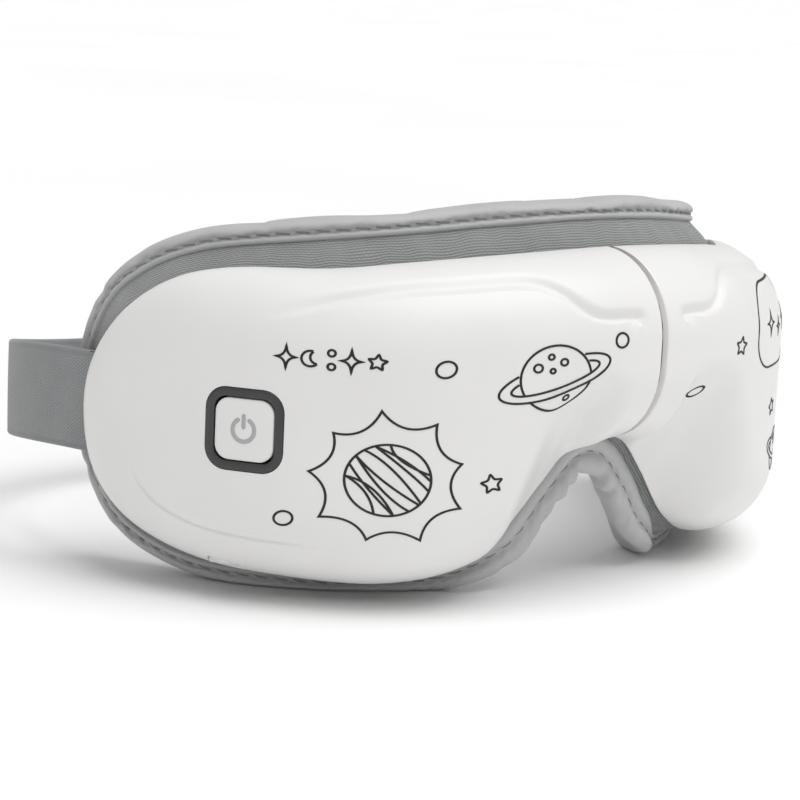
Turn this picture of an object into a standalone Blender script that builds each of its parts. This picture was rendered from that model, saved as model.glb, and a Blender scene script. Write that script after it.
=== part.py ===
"""Foldable eye massager mask: a solid model of every sub-part, in metres, +Z up.

The wearer looks along -Y. The mask wraps the face along a vertical cylinder, so most pieces are
drawn on an unrolled sheet and wrapped: s runs along the wrap from the nose, z is the height above
the rim's base line, and d is the distance in front of the shells' rim (negative towards the face).
The right half is the wearer's right, at -X. The left half folds about the pin at the nose bridge.
Sheet sizes are millimetres; wrap() and place() turn them into metres in the object's own frame.
"""

import math

import bmesh
import bpy
import numpy as np

MM = 0.001

# Frame: the origin is the centre of the object's bounding box, at its base
BACK_OF_RIM = 65.566      # the box's centre behind the rim's base line at the nose
BASE_DEPTH = 49.3         # the box's base below the rim's base line
RIGHT, LEFT = -1, 1       # the side of the wearer's head

# Wrap and shells
WRAP_RADIUS = 98.5
BRIDGE_DEPTH = 20.0       # how far the shell stands in front of its rim at the nose
END_DEPTH = 9.0           # and near the temple
EDGE_ROUND = 20.0         # radius of the shell's rounded border
WALL = 1.8
SEAM = 0.8                # half the gap between the two shells
GAP = 0.35                # clearance between neighbouring pieces
SHELL_LINE = [(0, 32.6), (25, 31.7), (50, 29.6), (70, 27.4), (92, 26.4), (107, 22.6), (120, 13.5),
              (128, 1), (129.6, -12), (126, -25), (116, -35), (98, -41.6), (77, -44), (57, -44.8),
              (41, -42), (28, -35), (17, -23), (9, -15), (0, -12.8)]
SHELL_LOBE = 95.0         # centre of the lobe's round end, along s
LOBE_Z = -8.0
NOTCH_SPAN = (7.0, 15.0, 27.0, 44.0)   # along s, the shell's border slopes more gently beside the nose
NOTCH_HEIGHT = (-4.0, 12.0)            # and only below these heights
NOTCH_ROUND, NOTCH_SLOPE = 12.0, 0.3

# Face cushion
CUSHION_LINE = [(0, 42.8), (27, 41.8), (54, 39.4), (88, 35.8), (106, 32.6), (121, 26.6), (133, 17.5),
                (140.5, 3), (142, -12), (138.5, -26), (127, -40), (106, -48), (80, -49.9), (57, -49.9),
                (36, -48.4), (20, -41.5), (9, -29), (0, -22)]
CUSHION_FRONT = -7.6
CUSHION_BACK = -18.4
EYE_RECESS = 4.5
CUSHION_SEAM = 24.0       # where the cushion's halves stop, so that they clear each other when folded
FLANGE = 4.5              # how far the stitched flange stands out from the knit gusset
GUSSET = 1.2
GUSSET_INSET = 2.0        # the knit starts this far inside the shell's edge
GUSSET_SEAM = 8.0
FOAM_WIDTH = 8.0
FOAM_GAP = 1.6

# Frames and hinge
FRAME_BACK, FRAME_FRONT = 0.4, 2.0
FRAME_INSET = (1.7, 0.8)  # from the shell's inner wall, at the frame's front and back
FRAME_SEAM = 20.5
PIN_RADIUS = 1.5
PIN_LOW, PIN_HIGH = -8.6, 28.6
LEAF = 1.6                # thickness of the hinge leaves
COVER_WALL = 1.5
COVER_FROM = -60.0        # degrees round the pin, from straight ahead
COVER_CLEAR = 2.4         # how far in front of the pin the cover ends, so that it clears the left leaves

# Strap
STRAP_WIDTH = 24.3
STRAP_THICK = 1.8
STRAP_BEND = 59.0
STRAP_Z = -9.0
STRAP_START = 131.2
STRAP_DEPTH = -1.1
STRAP_DROP = 11.5         # how far the strap hangs lower at the back than at the temples
STRAP_GAP = 1.0           # half the gap between the strap's halves at the back
ANCHOR_ZONE = 21.0        # half height of the slot that the strap leaves the rim through
SLIDER_X, SLIDER_LENGTH = 26.0, 9.0

# Button
BUTTON_S, BUTTON_Z = 85.5, -8.0
BEZEL = 18.7
BEZEL_CORNER = 5.0
BEZEL_BAND = 2.0
CAP = 14.1

# Screws, as (s, z) on each half's frame
SCREWS = {"upper": (36.0, 15.0), "lower": (68.0, -29.5), "temple": (106.0, 4.0)}
SCREW_HEAD, SCREW_SHANK = 1.9, 0.85
BOSS = 3.0

# Inside the halves: (s, z) of each centre, then its size and the depths it lies between
EYE_CENTRE = (62.0, -7.0)
AIRBAG = (46.0, 34.0, -5.2, -2.0)
HEATING_PAD = (50.0, 38.0, -7.0, -6.4)
SPEAKER_AT = (108.0, -16.0)
SPEAKER = ((5.5, FRAME_FRONT + 0.6), (5.5, 4.2), (7.5, 4.2), (7.5, 5.8))
VIBRATOR_AT = (34.0, 6.0, 8.4)
VIBRATOR = ((3.4, -6.0), (3.4, 5.0), (0.5, 5.0), (0.5, 9.4))
VALVE_AT, VALVE = (70.0, 14.6, 2.6), (15.0, 7.6, 6.0)
BATTERY_AT, BATTERY = (57.0, -7.0, 3.0), (24.0, 34.0, 6.5)
PUMP_AT, PUMP = (60.0, 2.0, 3.0), (15.0, 14.0, 11.0)
PUMP_MOTOR_AT, PUMP_MOTOR = (60.0, -15.0, 8.8), (5.6, -9.0, 9.4)
HOSE_ROUTE, HOSE_RADIUS = ((68.0, 2.0, 8.5), (73.0, 2.0, 8.5), (73.0, 10.4, 6.5)), 1.3

PORT_S = 90.0
PORT_LIFT = 2.0           # the socket's mouth above the shell's lowest edge
CHARGE = (9.0, 3.3, 7.0)  # charging port: width, height and depth

EDGE_STEPS = 11           # samples along the upper, the round and the lower stretch of an outline
RING_SHARES = (0.0, 0.05, 0.15, 0.32, 0.6, 0.85)


# ------------------------------------------------------------------------------ placing
def place(x, y, z):
    """A point given from the rim's base line at the nose, in the object's frame."""
    return (x * MM, (y - BACK_OF_RIM) * MM, (z + BASE_DEPTH) * MM)


def wrap(side, s, z, d):
    """A point of the unrolled sheet on one side of the mask, in the object's frame."""
    angle = s / WRAP_RADIUS
    radius = WRAP_RADIUS + d
    return place(side * radius * math.sin(angle), WRAP_RADIUS - radius * math.cos(angle), z)


def tangent_frame(side, s, z, d, slope=0.0):
    """A function from (along, up, out) in mm to a point, in the plane that touches the sheet at s."""
    angle = s / WRAP_RADIUS
    origin = np.array(wrap(side, s, z, d))
    along = np.array([side * math.cos(angle), math.sin(angle), 0.0])
    out = np.array([side * math.sin(angle), -math.cos(angle), 0.0])
    tilt = math.atan(slope)
    tilted_along = along * math.cos(tilt) + out * math.sin(tilt)
    tilted_out = out * math.cos(tilt) - along * math.sin(tilt)

    def at(a, b, c):
        return tuple(origin + MM * (a * tilted_along + b * np.array([0, 0, 1.0]) + c * tilted_out))

    at.out = tilted_out
    at.origin = tuple(origin)
    return at


# ------------------------------------------------------------------------------ outlines
def smooth_line(points, steps=16):
    """A Catmull-Rom curve through the points, level at both ends, as dense samples."""
    pts = np.array(points, float)
    before = np.array([-pts[1][0], pts[1][1]]) if pts[0][0] == 0 else 2 * pts[0] - pts[1]
    after = np.array([-pts[-2][0], pts[-2][1]]) if pts[-1][0] == 0 else 2 * pts[-1] - pts[-2]
    chain = np.vstack([before, pts, after])
    t = np.linspace(0, 1, steps, endpoint=False)[:, None]
    pieces = []
    for a, b, c, d in zip(chain, chain[1:], chain[2:], chain[3:]):
        pieces.append(0.5 * (2 * b + (c - a) * t + (2 * a - 5 * b + 4 * c - d) * t ** 2
                             + (3 * b - a - 3 * c + d) * t ** 3))
    return np.vstack(pieces + [pts[-1:]])


def resample(line, count):
    """count + 1 points spaced evenly along a line."""
    step = np.r_[0, np.cumsum(np.linalg.norm(np.diff(line, axis=0), axis=1))]
    at = np.linspace(0, step[-1], count + 1)
    return np.column_stack([np.interp(at, step, line[:, i]) for i in (0, 1)])


def half_outline(points, seam, lobe, inset=0.0):
    """One half's outline from the seam's top, round the temple, to the seam's bottom."""
    line = smooth_line(points)
    if inset:
        way = np.gradient(line, axis=0)
        normal = np.column_stack([way[:, 1], -way[:, 0]])
        line = line + inset * normal / np.linalg.norm(normal, axis=1)[:, None]
    line = line[line[:, 0] >= seam - 0.5]
    line[0, 0] = line[-1, 0] = seam
    line = line[(line[:, 0] >= seam)]
    past = np.where(line[:, 0] > lobe)[0]
    stretches = (line[:past[0] + 1], line[past[0]:past[-1] + 1], line[past[-1]:])
    sampled = [resample(stretch, EDGE_STEPS) for stretch in stretches]
    return np.vstack([sampled[0], sampled[1][1:], sampled[2][1:]])


def pull_in(outline, amount):
    """The same samples moved towards the inside, still ending on the seam."""
    way = np.gradient(outline, axis=0)
    normal = np.column_stack([way[:, 1], -way[:, 0]])
    moved = outline + amount * normal / np.linalg.norm(normal, axis=1)[:, None]
    moved[[0, -1], 0] = outline[[0, -1], 0]
    return moved


def spine(outline, seam, lobe):
    """For each sample of an outline, the point of the half's middle line that it looks at."""
    steps = len(outline) - 1
    top = EDGE_STEPS
    share = np.minimum(np.minimum(np.arange(steps + 1), steps - np.arange(steps + 1)) / top, 1.0)
    s = seam + (lobe - seam) * share
    start = (outline[0, 1] + outline[-1, 1]) / 2
    return np.column_stack([s, start + (LOBE_Z - start) * share])


def ring(outline, middle, share):
    return outline + (middle - outline) * share


def edge_distance(points, outline):
    """Distance from each point to the outline."""
    a, b = outline[:-1][None], outline[1:][None]
    p = points[:, None, :]
    t = np.clip(((p - a) * (b - a)).sum(-1) / ((b - a) ** 2).sum(-1), 0, 1)[..., None]
    return np.linalg.norm(p - a - t * (b - a), axis=-1).min(1)


def smoothstep(x, low, high):
    t = np.clip((x - low) / (high - low), 0, 1)
    return t * t * (3 - 2 * t)


def crown(s):
    """How far the shell's face stands in front of the rim at s."""
    return BRIDGE_DEPTH - (BRIDGE_DEPTH - END_DEPTH) * smoothstep(s, 45, 125)


def shell_depth(points, outline, wall=0.0):
    """Depth of the shell's outer face, or of its inner face one wall behind it."""
    s, z = points[:, 0], points[:, 1]
    notch = smoothstep(s, *NOTCH_SPAN[:2]) * (1 - smoothstep(s, *NOTCH_SPAN[2:]))
    notch *= 1 - smoothstep(z, *NOTCH_HEIGHT)
    radius = EDGE_ROUND + NOTCH_ROUND * notch - wall
    t = np.clip(edge_distance(points, outline) / radius, 0, 1)
    return (crown(s) - wall) * (1 - (1 - t) ** 2) ** (0.5 + NOTCH_SLOPE * notch)


# ------------------------------------------------------------------------------ solids
def material(name, colour, roughness, metallic=0.0):
    made = bpy.data.materials.new(name)
    made.use_nodes = True
    shader = made.node_tree.nodes["Principled BSDF"]
    shader.inputs["Base Color"].default_value = (*colour, 1.0)
    shader.inputs["Roughness"].default_value = roughness
    shader.inputs["Metallic"].default_value = metallic
    return made


def body(name, pivot=(0.0, 0.0, 0.0), parent=None):
    """An empty on a joint's axis, which carries the pieces of one moving body."""
    empty = bpy.data.objects.new("pivot_" + name, None)
    bpy.context.scene.collection.objects.link(empty)
    empty.parent = parent[0] if parent else None
    base = parent[1] if parent else (0.0, 0.0, 0.0)
    empty.location = tuple(p - b for p, b in zip(pivot, base))
    return empty, pivot


def solid(name, points, faces, look, carrier, smooth=True):
    """A closed mesh from points in the object's frame, hung on its body's empty."""
    empty, pivot = carrier
    mesh = bpy.data.meshes.new(name)
    mesh.from_pydata([tuple(a - b for a, b in zip(p, pivot)) for p in points], [], faces)
    work = bmesh.new()
    work.from_mesh(mesh)
    bmesh.ops.recalc_face_normals(work, faces=work.faces)
    work.to_mesh(mesh)
    work.free()
    mesh.materials.append(look)
    if smooth:
        mesh.shade_smooth()
        mesh.set_sharp_from_angle(angle=math.radians(40))
    made = bpy.data.objects.new(name, mesh)
    made.parent = empty
    bpy.context.scene.collection.objects.link(made)
    return made


def panel(name, side, rings, look, carrier):
    """A closed solid from rings that run from its front middle, over its edge, to its back middle.

    Each ring has one (s, z, d) row per outline sample. Rungs close the two middles, and one
    flat face closes the seam end.
    """
    count = len(rings[0])
    points = [wrap(side, *row) for one in rings for row in one]
    faces = []
    for r in range(len(rings) - 1):
        for k in range(count - 1):
            a = r * count + k
            faces.append((a, a + 1, a + count + 1, a + count))
    for base, order in ((0, 1), ((len(rings) - 1) * count, -1)):
        for k in range(count // 2):
            rung = [base + k, base + k + 1, base + count - 2 - k, base + count - 1 - k]
            if rung[1] == rung[2]:
                rung.pop(2)
            faces.append(tuple(rung[::order]))
    top = [r * count for r in range(len(rings))]
    bottom = [r * count + count - 1 for r in range(len(rings))]
    faces.append(tuple(top + bottom[::-1]))
    return solid(name, points, faces, look, carrier)


def sweep(name, sections, look, carrier, smooth=True):
    """A closed solid through a row of cross-sections, each a loop of points."""
    size = len(sections[0])
    points = [p for section in sections for p in section]
    faces = [tuple(range(size))[::-1], tuple(range(len(points) - size, len(points)))]
    for i in range(len(sections) - 1):
        for j in range(size):
            a, b = i * size + j, i * size + (j + 1) % size
            faces.append((a, b, b + size, a + size))
    return solid(name, points, faces, look, carrier, smooth)


def rounded_loop(width, height, corner, steps=4):
    """A rectangle with round corners, as (x, y) points."""
    loop = []
    for cx, cy, start in ((1, 1, 0), (-1, 1, 90), (-1, -1, 180), (1, -1, 270)):
        for i in range(steps + 1):
            a = math.radians(start + 90 * i / steps)
            loop.append((cx * (width / 2 - corner) + corner * math.cos(a),
                         cy * (height / 2 - corner) + corner * math.sin(a)))
    return loop


def disc_loop(radius, steps=16):
    return [(radius * math.cos(2 * math.pi * i / steps), radius * math.sin(2 * math.pi * i / steps))
            for i in range(steps)]


def prism(name, at, loop, low, high, look, carrier):
    """A loop in the tangent plane, extruded outwards from low to high."""
    sections = [[at(x, y, c) for x, y in loop] for c in (low, high)]
    return sweep(name, sections, look, carrier)


def tube(name, at, outer, inner, low, high, look, carrier, floor=None):
    """A ring between two loops, open at both ends, or closed at its low end up to floor."""
    n = len(outer)
    bottom = low if floor is None else floor
    points = [at(x, y, low) for x, y in outer] + [at(x, y, high) for x, y in outer]
    points += [at(x, y, high) for x, y in inner] + [at(x, y, bottom) for x, y in inner]
    faces = []
    rows = 3 if floor is not None else 4
    for r in range(rows):
        for i in range(n):
            j = (i + 1) % n
            a, b = r * n, ((r + 1) % 4) * n
            faces.append((a + i, a + j, b + j, b + i))
    if floor is not None:
        faces += [tuple(range(n))[::-1], tuple(range(3 * n, 4 * n))]
    return solid(name, points, faces, look, carrier)


def change(target, tool, operation="DIFFERENCE"):
    """Cuts target with tool, or joins the two, and hides the tool."""
    tool.hide_render = True
    tool.display_type = "WIRE"
    step = target.modifiers.new(tool.name, "BOOLEAN")
    step.operation = operation
    step.object = tool


# ------------------------------------------------------------------------------ shells and frames
def front_shell(side, word, look, carrier):
    outer = half_outline(SHELL_LINE, SEAM, SHELL_LOBE)
    inner = half_outline(SHELL_LINE, SEAM, SHELL_LOBE, WALL)
    rings = []
    for share in RING_SHARES[::-1]:
        flat = ring(outer, spine(outer, SEAM, SHELL_LOBE), share)
        rings.append(np.column_stack([flat, shell_depth(flat, outer)]))
    for share in RING_SHARES:
        flat = ring(inner, spine(outer, SEAM, SHELL_LOBE), share)
        rings.append(np.column_stack([flat, shell_depth(flat, inner, WALL)]))
    shell = panel(word + "_front_shell", side, rings, look, carrier)
    for place_name, (s, z) in SCREWS.items():
        at = tangent_frame(side, s, z, 0.0)
        reach = float(shell_depth(np.array([[s, z]]), outer)[0]) - WALL / 2
        post = prism(f"boss_{word}_{place_name}", at, disc_loop(BOSS), FRAME_FRONT + GAP, reach,
                     look, carrier)
        change(shell, post, "UNION")
    for place_name, (s, z) in SCREWS.items():
        at = tangent_frame(side, s, z, 0.0)
        hole = prism(f"boss_hole_{word}_{place_name}", at, disc_loop(SCREW_SHANK + GAP, 10),
                     0.5, 8.0, look, carrier)
        change(shell, hole)
    return shell


def back_frame(side, word, look, carrier):
    front = half_outline(SHELL_LINE, FRAME_SEAM, SHELL_LOBE, WALL + FRAME_INSET[0])
    back = half_outline(SHELL_LINE, FRAME_SEAM, SHELL_LOBE, WALL + FRAME_INSET[1])
    middle = spine(front, FRAME_SEAM, SHELL_LOBE)
    rings = []
    for outline, share, depth in ((front, 0.7, FRAME_FRONT), (front, 0.0, FRAME_FRONT),
                                  (back, 0.0, FRAME_BACK), (back, 0.7, FRAME_BACK)):
        flat = ring(outline, middle, share)
        rings.append(np.column_stack([flat, np.full(len(flat), depth)]))
    frame = panel(word + "_back_frame", side, rings, look, carrier)
    for place_name, (s, z) in SCREWS.items():
        at = tangent_frame(side, s, z, 0.0)
        hole = prism(f"frame_hole_{word}_{place_name}", at, disc_loop(SCREW_SHANK + GAP, 10),
                     -1.0, 4.0, look, carrier)
        change(frame, hole)
    return frame


def screws(side, word, look, carrier):
    """Each screw's head seats behind the frame and its shank runs into the shell's boss."""
    for place_name, (s, z) in SCREWS.items():
        at = tangent_frame(side, s, z, 0.0)
        rows = ((SCREW_HEAD, -1.4), (SCREW_HEAD, FRAME_BACK - GAP), (SCREW_SHANK, FRAME_BACK - GAP),
                (SCREW_SHANK, 7.0))
        sections = [[at(x, y, depth) for x, y in disc_loop(radius, 10)] for radius, depth in rows]
        sweep(f"{word}_{place_name}_screw", sections, look, carrier)


# ------------------------------------------------------------------------------ hinge
def hinge_leaf(name, side, low, high, look, carrier):
    """A strip that lies in front of the frame and rolls round the pin."""
    roll = PIN_RADIUS + GAP + LEAF / 2
    path = [(26.5, -1.05), (8.0, -1.05), (4.6, -1.5)]
    for i in range(13):
        a = math.radians(-62 - 24.5 * i)
        path.append((roll * math.cos(a), roll * math.sin(a)))
    path = np.array(path)
    way = np.gradient(path, axis=0)
    normal = np.column_stack([-way[:, 1], way[:, 0]]) / np.linalg.norm(way, axis=1)[:, None]
    sections = []
    for (x, y), (nx, ny) in zip(path, normal * LEAF / 2):
        sections.append([place(side * (x - nx), y - ny, low), place(side * (x + nx), y + ny, low),
                         place(side * (x + nx), y + ny, high), place(side * (x - nx), y - ny, high)])
    return sweep(name, sections, look, carrier)


def hinge_pin(look, carrier):
    sections = [[place(x, y, z) for x, y in disc_loop(PIN_RADIUS, 12)] for z in (PIN_LOW, PIN_HIGH)]
    sweep("hinge_pin", sections, look, carrier)


def hinge_cover(look, carrier):
    """The curved inner skin that fills the opening between the shells as the mask folds."""
    seam_line = half_outline(SHELL_LINE, SEAM, SHELL_LOBE, WALL)
    top, bottom = seam_line[0, 1], seam_line[-1, 1]
    heights = np.linspace(bottom + 2.2, top - 2.2, 12)
    points = np.column_stack([np.full(len(heights), SEAM), heights])
    reach = shell_depth(points, seam_line, WALL) - 0.45
    inner = np.maximum(reach - COVER_WALL, 4.2)
    profile = list(zip(reach, heights)) + list(zip(inner, heights))[::-1]
    last = np.degrees(np.arccos(COVER_CLEAR / inner))
    last = np.r_[last, last[::-1]]
    sections = []
    for share in np.linspace(0, 1, 15):
        turns = np.radians(COVER_FROM + (last - COVER_FROM) * share)
        sections.append([place(r * math.sin(a), -r * math.cos(a), z) for (r, z), a in zip(profile, turns)])
    sweep("hinge_cover", sections, look, carrier)


# ------------------------------------------------------------------------------ soft parts
def gusset_front(points):
    """Front depth of the knit band and its foam, stepped back where the strap leaves."""
    near_strap = (points[:, 0] > 105) & (np.abs(points[:, 1] - STRAP_Z) < ANCHOR_ZONE)
    return np.where(near_strap, -2.7, -GAP)


def band(name, side, inset, thick, look, carrier):
    """A skin from the shell's rim to the cushion's flange, inset mm inside the knit, thick mm through."""
    rim = half_outline(SHELL_LINE, GUSSET_SEAM, SHELL_LOBE, GUSSET_INSET)
    edge = half_outline(CUSHION_LINE, GUSSET_SEAM, SHELL_LOBE, FLANGE)
    front, front_in = pull_in(rim, inset), pull_in(rim, inset + thick)
    back, back_in = pull_in(edge, inset), pull_in(edge, inset + thick)
    near = gusset_front(rim)
    far = CUSHION_FRONT + GAP
    sections = []
    for k in range(len(front)):
        sections.append([wrap(side, *front[k], near[k]), wrap(side, *front_in[k], near[k]),
                         wrap(side, *back_in[k], far), wrap(side, *back[k], far)])
    return sweep(name, sections, look, carrier)


def face_cushion(side, word, look, carrier):
    """A pad with a rounded border, a flat foot and a shallow recess over the eye."""
    inset = (FLANGE + 1.5, 1.2, 0.25, 0.25, 1.2, 3.4, 6.5)
    depth = (CUSHION_FRONT, CUSHION_FRONT - 0.3, -9.8, -13.8, -16.2, CUSHION_BACK + 0.5, CUSHION_BACK)
    outlines = [half_outline(CUSHION_LINE, CUSHION_SEAM, SHELL_LOBE, i) for i in inset]
    middle = spine(outlines[0], CUSHION_SEAM, SHELL_LOBE)
    rings = [np.column_stack([ring(outlines[0], middle, 0.8), np.full(len(middle), CUSHION_FRONT)])]
    for outline, d in zip(outlines, depth):
        outline[:, 1] = np.maximum(outline[:, 1], -BASE_DEPTH)
        rings.append(np.column_stack([outline, np.full(len(outline), d)]))
    for share, sink in ((0.3, 0.0), (0.55, 0.75), (0.8, 1.0)):
        flat = ring(outlines[-1], middle, share)
        rings.append(np.column_stack([flat, np.full(len(flat), CUSHION_BACK + EYE_RECESS * sink)]))
    panel(word + "_face_cushion", side, rings, look, carrier)


def bridge_cushion(look, carrier):
    """The pad over the nose that gathers between the halves as they fold."""
    line = smooth_line(CUSHION_LINE)
    half = CUSHION_SEAM - 2 * GAP
    stops = np.linspace(-half, half, 13)
    upper = line[:len(line) // 3]
    lower = line[len(line) * 2 // 3:][::-1]
    sections = []
    for s in stops:
        top = np.interp(abs(s), upper[:, 0], upper[:, 1])
        low = np.interp(abs(s), lower[:, 0], lower[:, 1])
        side = RIGHT if s < 0 else LEFT
        loop = ((top - 6, CUSHION_FRONT), (top - 1, CUSHION_FRONT - 0.3), (top, -11.5), (top - 1, -15.5),
                (top - 4, CUSHION_BACK), (low + 4, CUSHION_BACK), (low + 1, -15.5), (low, -11.5),
                (low + 1, CUSHION_FRONT - 0.3), (low + 6, CUSHION_FRONT))
        sections.append([wrap(side, abs(s), z, d) for z, d in loop])
    sweep("nose_bridge_cushion", sections, look, carrier)


def bridge_gusset(name, upper, look, carrier):
    """The stretch of knit band that crosses the fold, above or below the nose bridge."""
    sign = 1 if upper else -1
    rim = SHELL_LINE[0][1] if upper else SHELL_LINE[-1][1]
    edge = CUSHION_LINE[0][1] if upper else CUSHION_LINE[-1][1]
    half = GUSSET_SEAM - GAP
    sections = []
    for s in np.linspace(-half, half, 7):
        side = RIGHT if s < 0 else LEFT
        near, far = rim - sign * 2.0, edge - sign * FLANGE
        corners = ((near, -GAP), (near - sign * GUSSET, -GAP), (far - sign * GUSSET, CUSHION_FRONT + GAP),
                   (far, CUSHION_FRONT + GAP))
        sections.append([wrap(side, abs(s), z, d) for z, d in corners])
    sweep(name, sections, look, carrier)


# ------------------------------------------------------------------------------ strap
def strap_pivot(side):
    return wrap(side, STRAP_START, STRAP_Z, STRAP_DEPTH)


def strap_line(side):
    """Points, outward normals and heights of one half of the strap, from the temple to the back."""
    angle = STRAP_START / WRAP_RADIUS
    radius = WRAP_RADIUS + STRAP_DEPTH
    x, y = radius * math.sin(angle), WRAP_RADIUS - radius * math.cos(angle)
    centre_x = x - STRAP_BEND * math.sin(angle)
    centre_y = y + STRAP_BEND * math.cos(angle)
    rows = []
    for share in np.linspace(0, 1, 17):
        a = angle - math.pi / 2 + (math.pi - angle) * share
        rows.append((centre_x + STRAP_BEND * math.cos(a), centre_y + STRAP_BEND * math.sin(a),
                     math.cos(a), math.sin(a), STRAP_Z - STRAP_DROP * float(smoothstep(share, 0, 1))))
    rows.append((STRAP_GAP, centre_y + STRAP_BEND, 0.0, 1.0, STRAP_Z - STRAP_DROP))
    return [(side * px, py, side * nx, ny, z) for px, py, nx, ny, z in rows]


def strap_half(name, side, look, carrier):
    t = STRAP_THICK / 2
    sections = []
    for x, y, nx, ny, z in strap_line(side):
        low, high = z - STRAP_WIDTH / 2, z + STRAP_WIDTH / 2
        sections.append([place(x - t * nx, y - t * ny, low), place(x + t * nx, y + t * ny, low),
                         place(x + t * nx, y + t * ny, high), place(x - t * nx, y - t * ny, high)])
    sweep(name, sections, look, carrier)


def strap_anchor(side, word, look, carrier):
    """The clip behind the rim that holds the strap's sewn end."""
    sections = []
    for s in np.linspace(117.0, STRAP_START - STRAP_THICK / 2 - GAP, 4):
        sections.append([wrap(side, s, STRAP_Z - 12.0, -2.0), wrap(side, s, STRAP_Z - 12.0, -0.4),
                         wrap(side, s, STRAP_Z + 12.0, -0.4), wrap(side, s, STRAP_Z + 12.0, -2.0)])
    sweep(word + "_strap_anchor", sections, look, carrier)


def strap_slider(look, carrier):
    """A plastic loop round the strap."""
    _, y, _, _, z = strap_line(RIGHT)[-1]

    def at(a, b, c):
        return place(-SLIDER_X + c, y + b, z + a)

    outer = rounded_loop(STRAP_WIDTH + 4.6, STRAP_THICK + 3.6, 1.2)
    inner = rounded_loop(STRAP_WIDTH + 1.0, STRAP_THICK + 0.9, 0.4)
    tube("strap_slider", at, outer, inner, -SLIDER_LENGTH / 2, SLIDER_LENGTH / 2, look, carrier)


# ------------------------------------------------------------------------------ button and electronics
def button_frame(side=RIGHT):
    """The tangent plane of the shell's face at the button."""
    outline = half_outline(SHELL_LINE, SEAM, SHELL_LOBE)
    spots = np.array([[BUTTON_S - 2, BUTTON_Z], [BUTTON_S, BUTTON_Z], [BUTTON_S + 2, BUTTON_Z]])
    depth = shell_depth(spots, outline)
    slope = (depth[2] - depth[0]) / 4
    return tangent_frame(side, BUTTON_S, BUTTON_Z, float(depth[1]), float(slope))


def button_parts(shell, at, looks, carrier, button_carrier):
    outer = rounded_loop(BEZEL, BEZEL, BEZEL_CORNER)
    inner = rounded_loop(BEZEL - 2 * BEZEL_BAND, BEZEL - 2 * BEZEL_BAND, BEZEL_CORNER - BEZEL_BAND + 0.6)
    opening = rounded_loop(BEZEL + 2 * GAP, BEZEL + 2 * GAP, BEZEL_CORNER + GAP)
    change(shell, prism("button_opening", at, opening, -4.5, 3.0, looks["shell"], carrier))
    tube("button_bezel", at, outer, inner, -3.4, 0.5, looks["bezel"], carrier)
    cap = prism("power_button", at, rounded_loop(CAP, CAP, 3.4), -2.6, 0.7, looks["shell"], button_carrier)
    edge = cap.modifiers.new("edge", "BEVEL")
    edge.width = 0.4 * MM
    edge.segments = 1
    edge.angle_limit = math.radians(60)
    prism("main_circuit_board", at, rounded_loop(24, 30, 1.5, 2), -9.2, -8.0, looks["board"], carrier)
    plunger = [(3.0, -8.0 + GAP), (3.0, -4.6), (1.4, -4.6), (1.4, -3.6)]
    sections = [[at(x, y, c) for x, y in rounded_loop(2 * half, 2 * half, 0.4 * half, 2)]
                for half, c in plunger]
    sweep("tactile_switch", sections, looks["black"], carrier, smooth=False)


def block(name, side, s, z, low, size, look, carrier, corner=1.0):
    """A rounded box whose back face stands low mm in front of the rim."""
    at = tangent_frame(side, s, z, 0.0)
    return prism(name, at, rounded_loop(size[0], size[1], corner, 2), low, low + size[2], look, carrier)


def patch(name, side, s, z, width, height, low, high, look, carrier):
    """A flat oval that lies along the wrap, such as an air bag or a heating film."""
    loop = disc_loop(1.0, 20)
    rings = []
    for share, d in ((0.6, high), (1.0, high), (1.0, low), (0.6, low)):
        rings.append([(s + width / 2 * share * x, z + height / 2 * share * y, d) for x, y in loop])
    points = [wrap(side, *p) for one in rings for p in one]
    n = len(loop)
    faces = [tuple(range(n))[::-1], tuple(range(3 * n, 4 * n))]
    for r in range(3):
        faces += [(r * n + i, r * n + (i + 1) % n, (r + 1) * n + (i + 1) % n, (r + 1) * n + i)
                  for i in range(n)]
    return solid(name, points, faces, look, carrier)


def hose(name, side, route, radius, look, carrier):
    """A soft tube through (s, z, d) points."""
    line = np.array([wrap(side, *p) for p in route]) / MM
    dense = np.vstack([line[:1]] + [line[i] + (line[i + 1] - line[i]) * t
                                    for i in range(len(line) - 1) for t in (0.25, 0.5, 0.75, 1.0)])
    for _ in range(3):
        dense[1:-1] = (dense[:-2] + 2 * dense[1:-1] + dense[2:]) / 4
    way = np.gradient(dense, axis=0)
    sections = []
    for p, w in zip(dense, way):
        w = w / np.linalg.norm(w)
        u = np.cross(w, (0.3, 0.2, 1.0))
        u /= np.linalg.norm(u)
        v = np.cross(w, u)
        sections.append([tuple(MM * (p + x * u + y * v)) for x, y in disc_loop(radius, 8)])
    return sweep(name, sections, look, carrier)


def vibration_motor(side, word, looks, carrier):
    """A small can with its shaft, and the place of the eccentric weight's axis."""
    at = tangent_frame(side, *VIBRATOR_AT)
    sections = [[at(c, x, y) for x, y in disc_loop(radius, 12)] for radius, c in VIBRATOR]
    sweep(word + "_vibration_motor", sections, looks["steel"], carrier)
    return at


def motor_weight(side, word, at, look, carrier):
    """A half disc of dense metal that spins off centre on the motor's shaft."""
    steps = 10
    arc = [(3.3 * math.cos(math.pi * i / steps), -3.3 * math.sin(math.pi * i / steps)) for i in range(steps + 1)]
    notch = [(0.85 * math.cos(a), 0.85 * math.sin(a)) for a in np.linspace(-math.pi, 0, 7)]
    sections = [[at(c, x, y) for x, y in arc + notch] for c in (5.8, 9.0)]
    sweep(word + "_motor_weight", sections, look, carrier)


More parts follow.
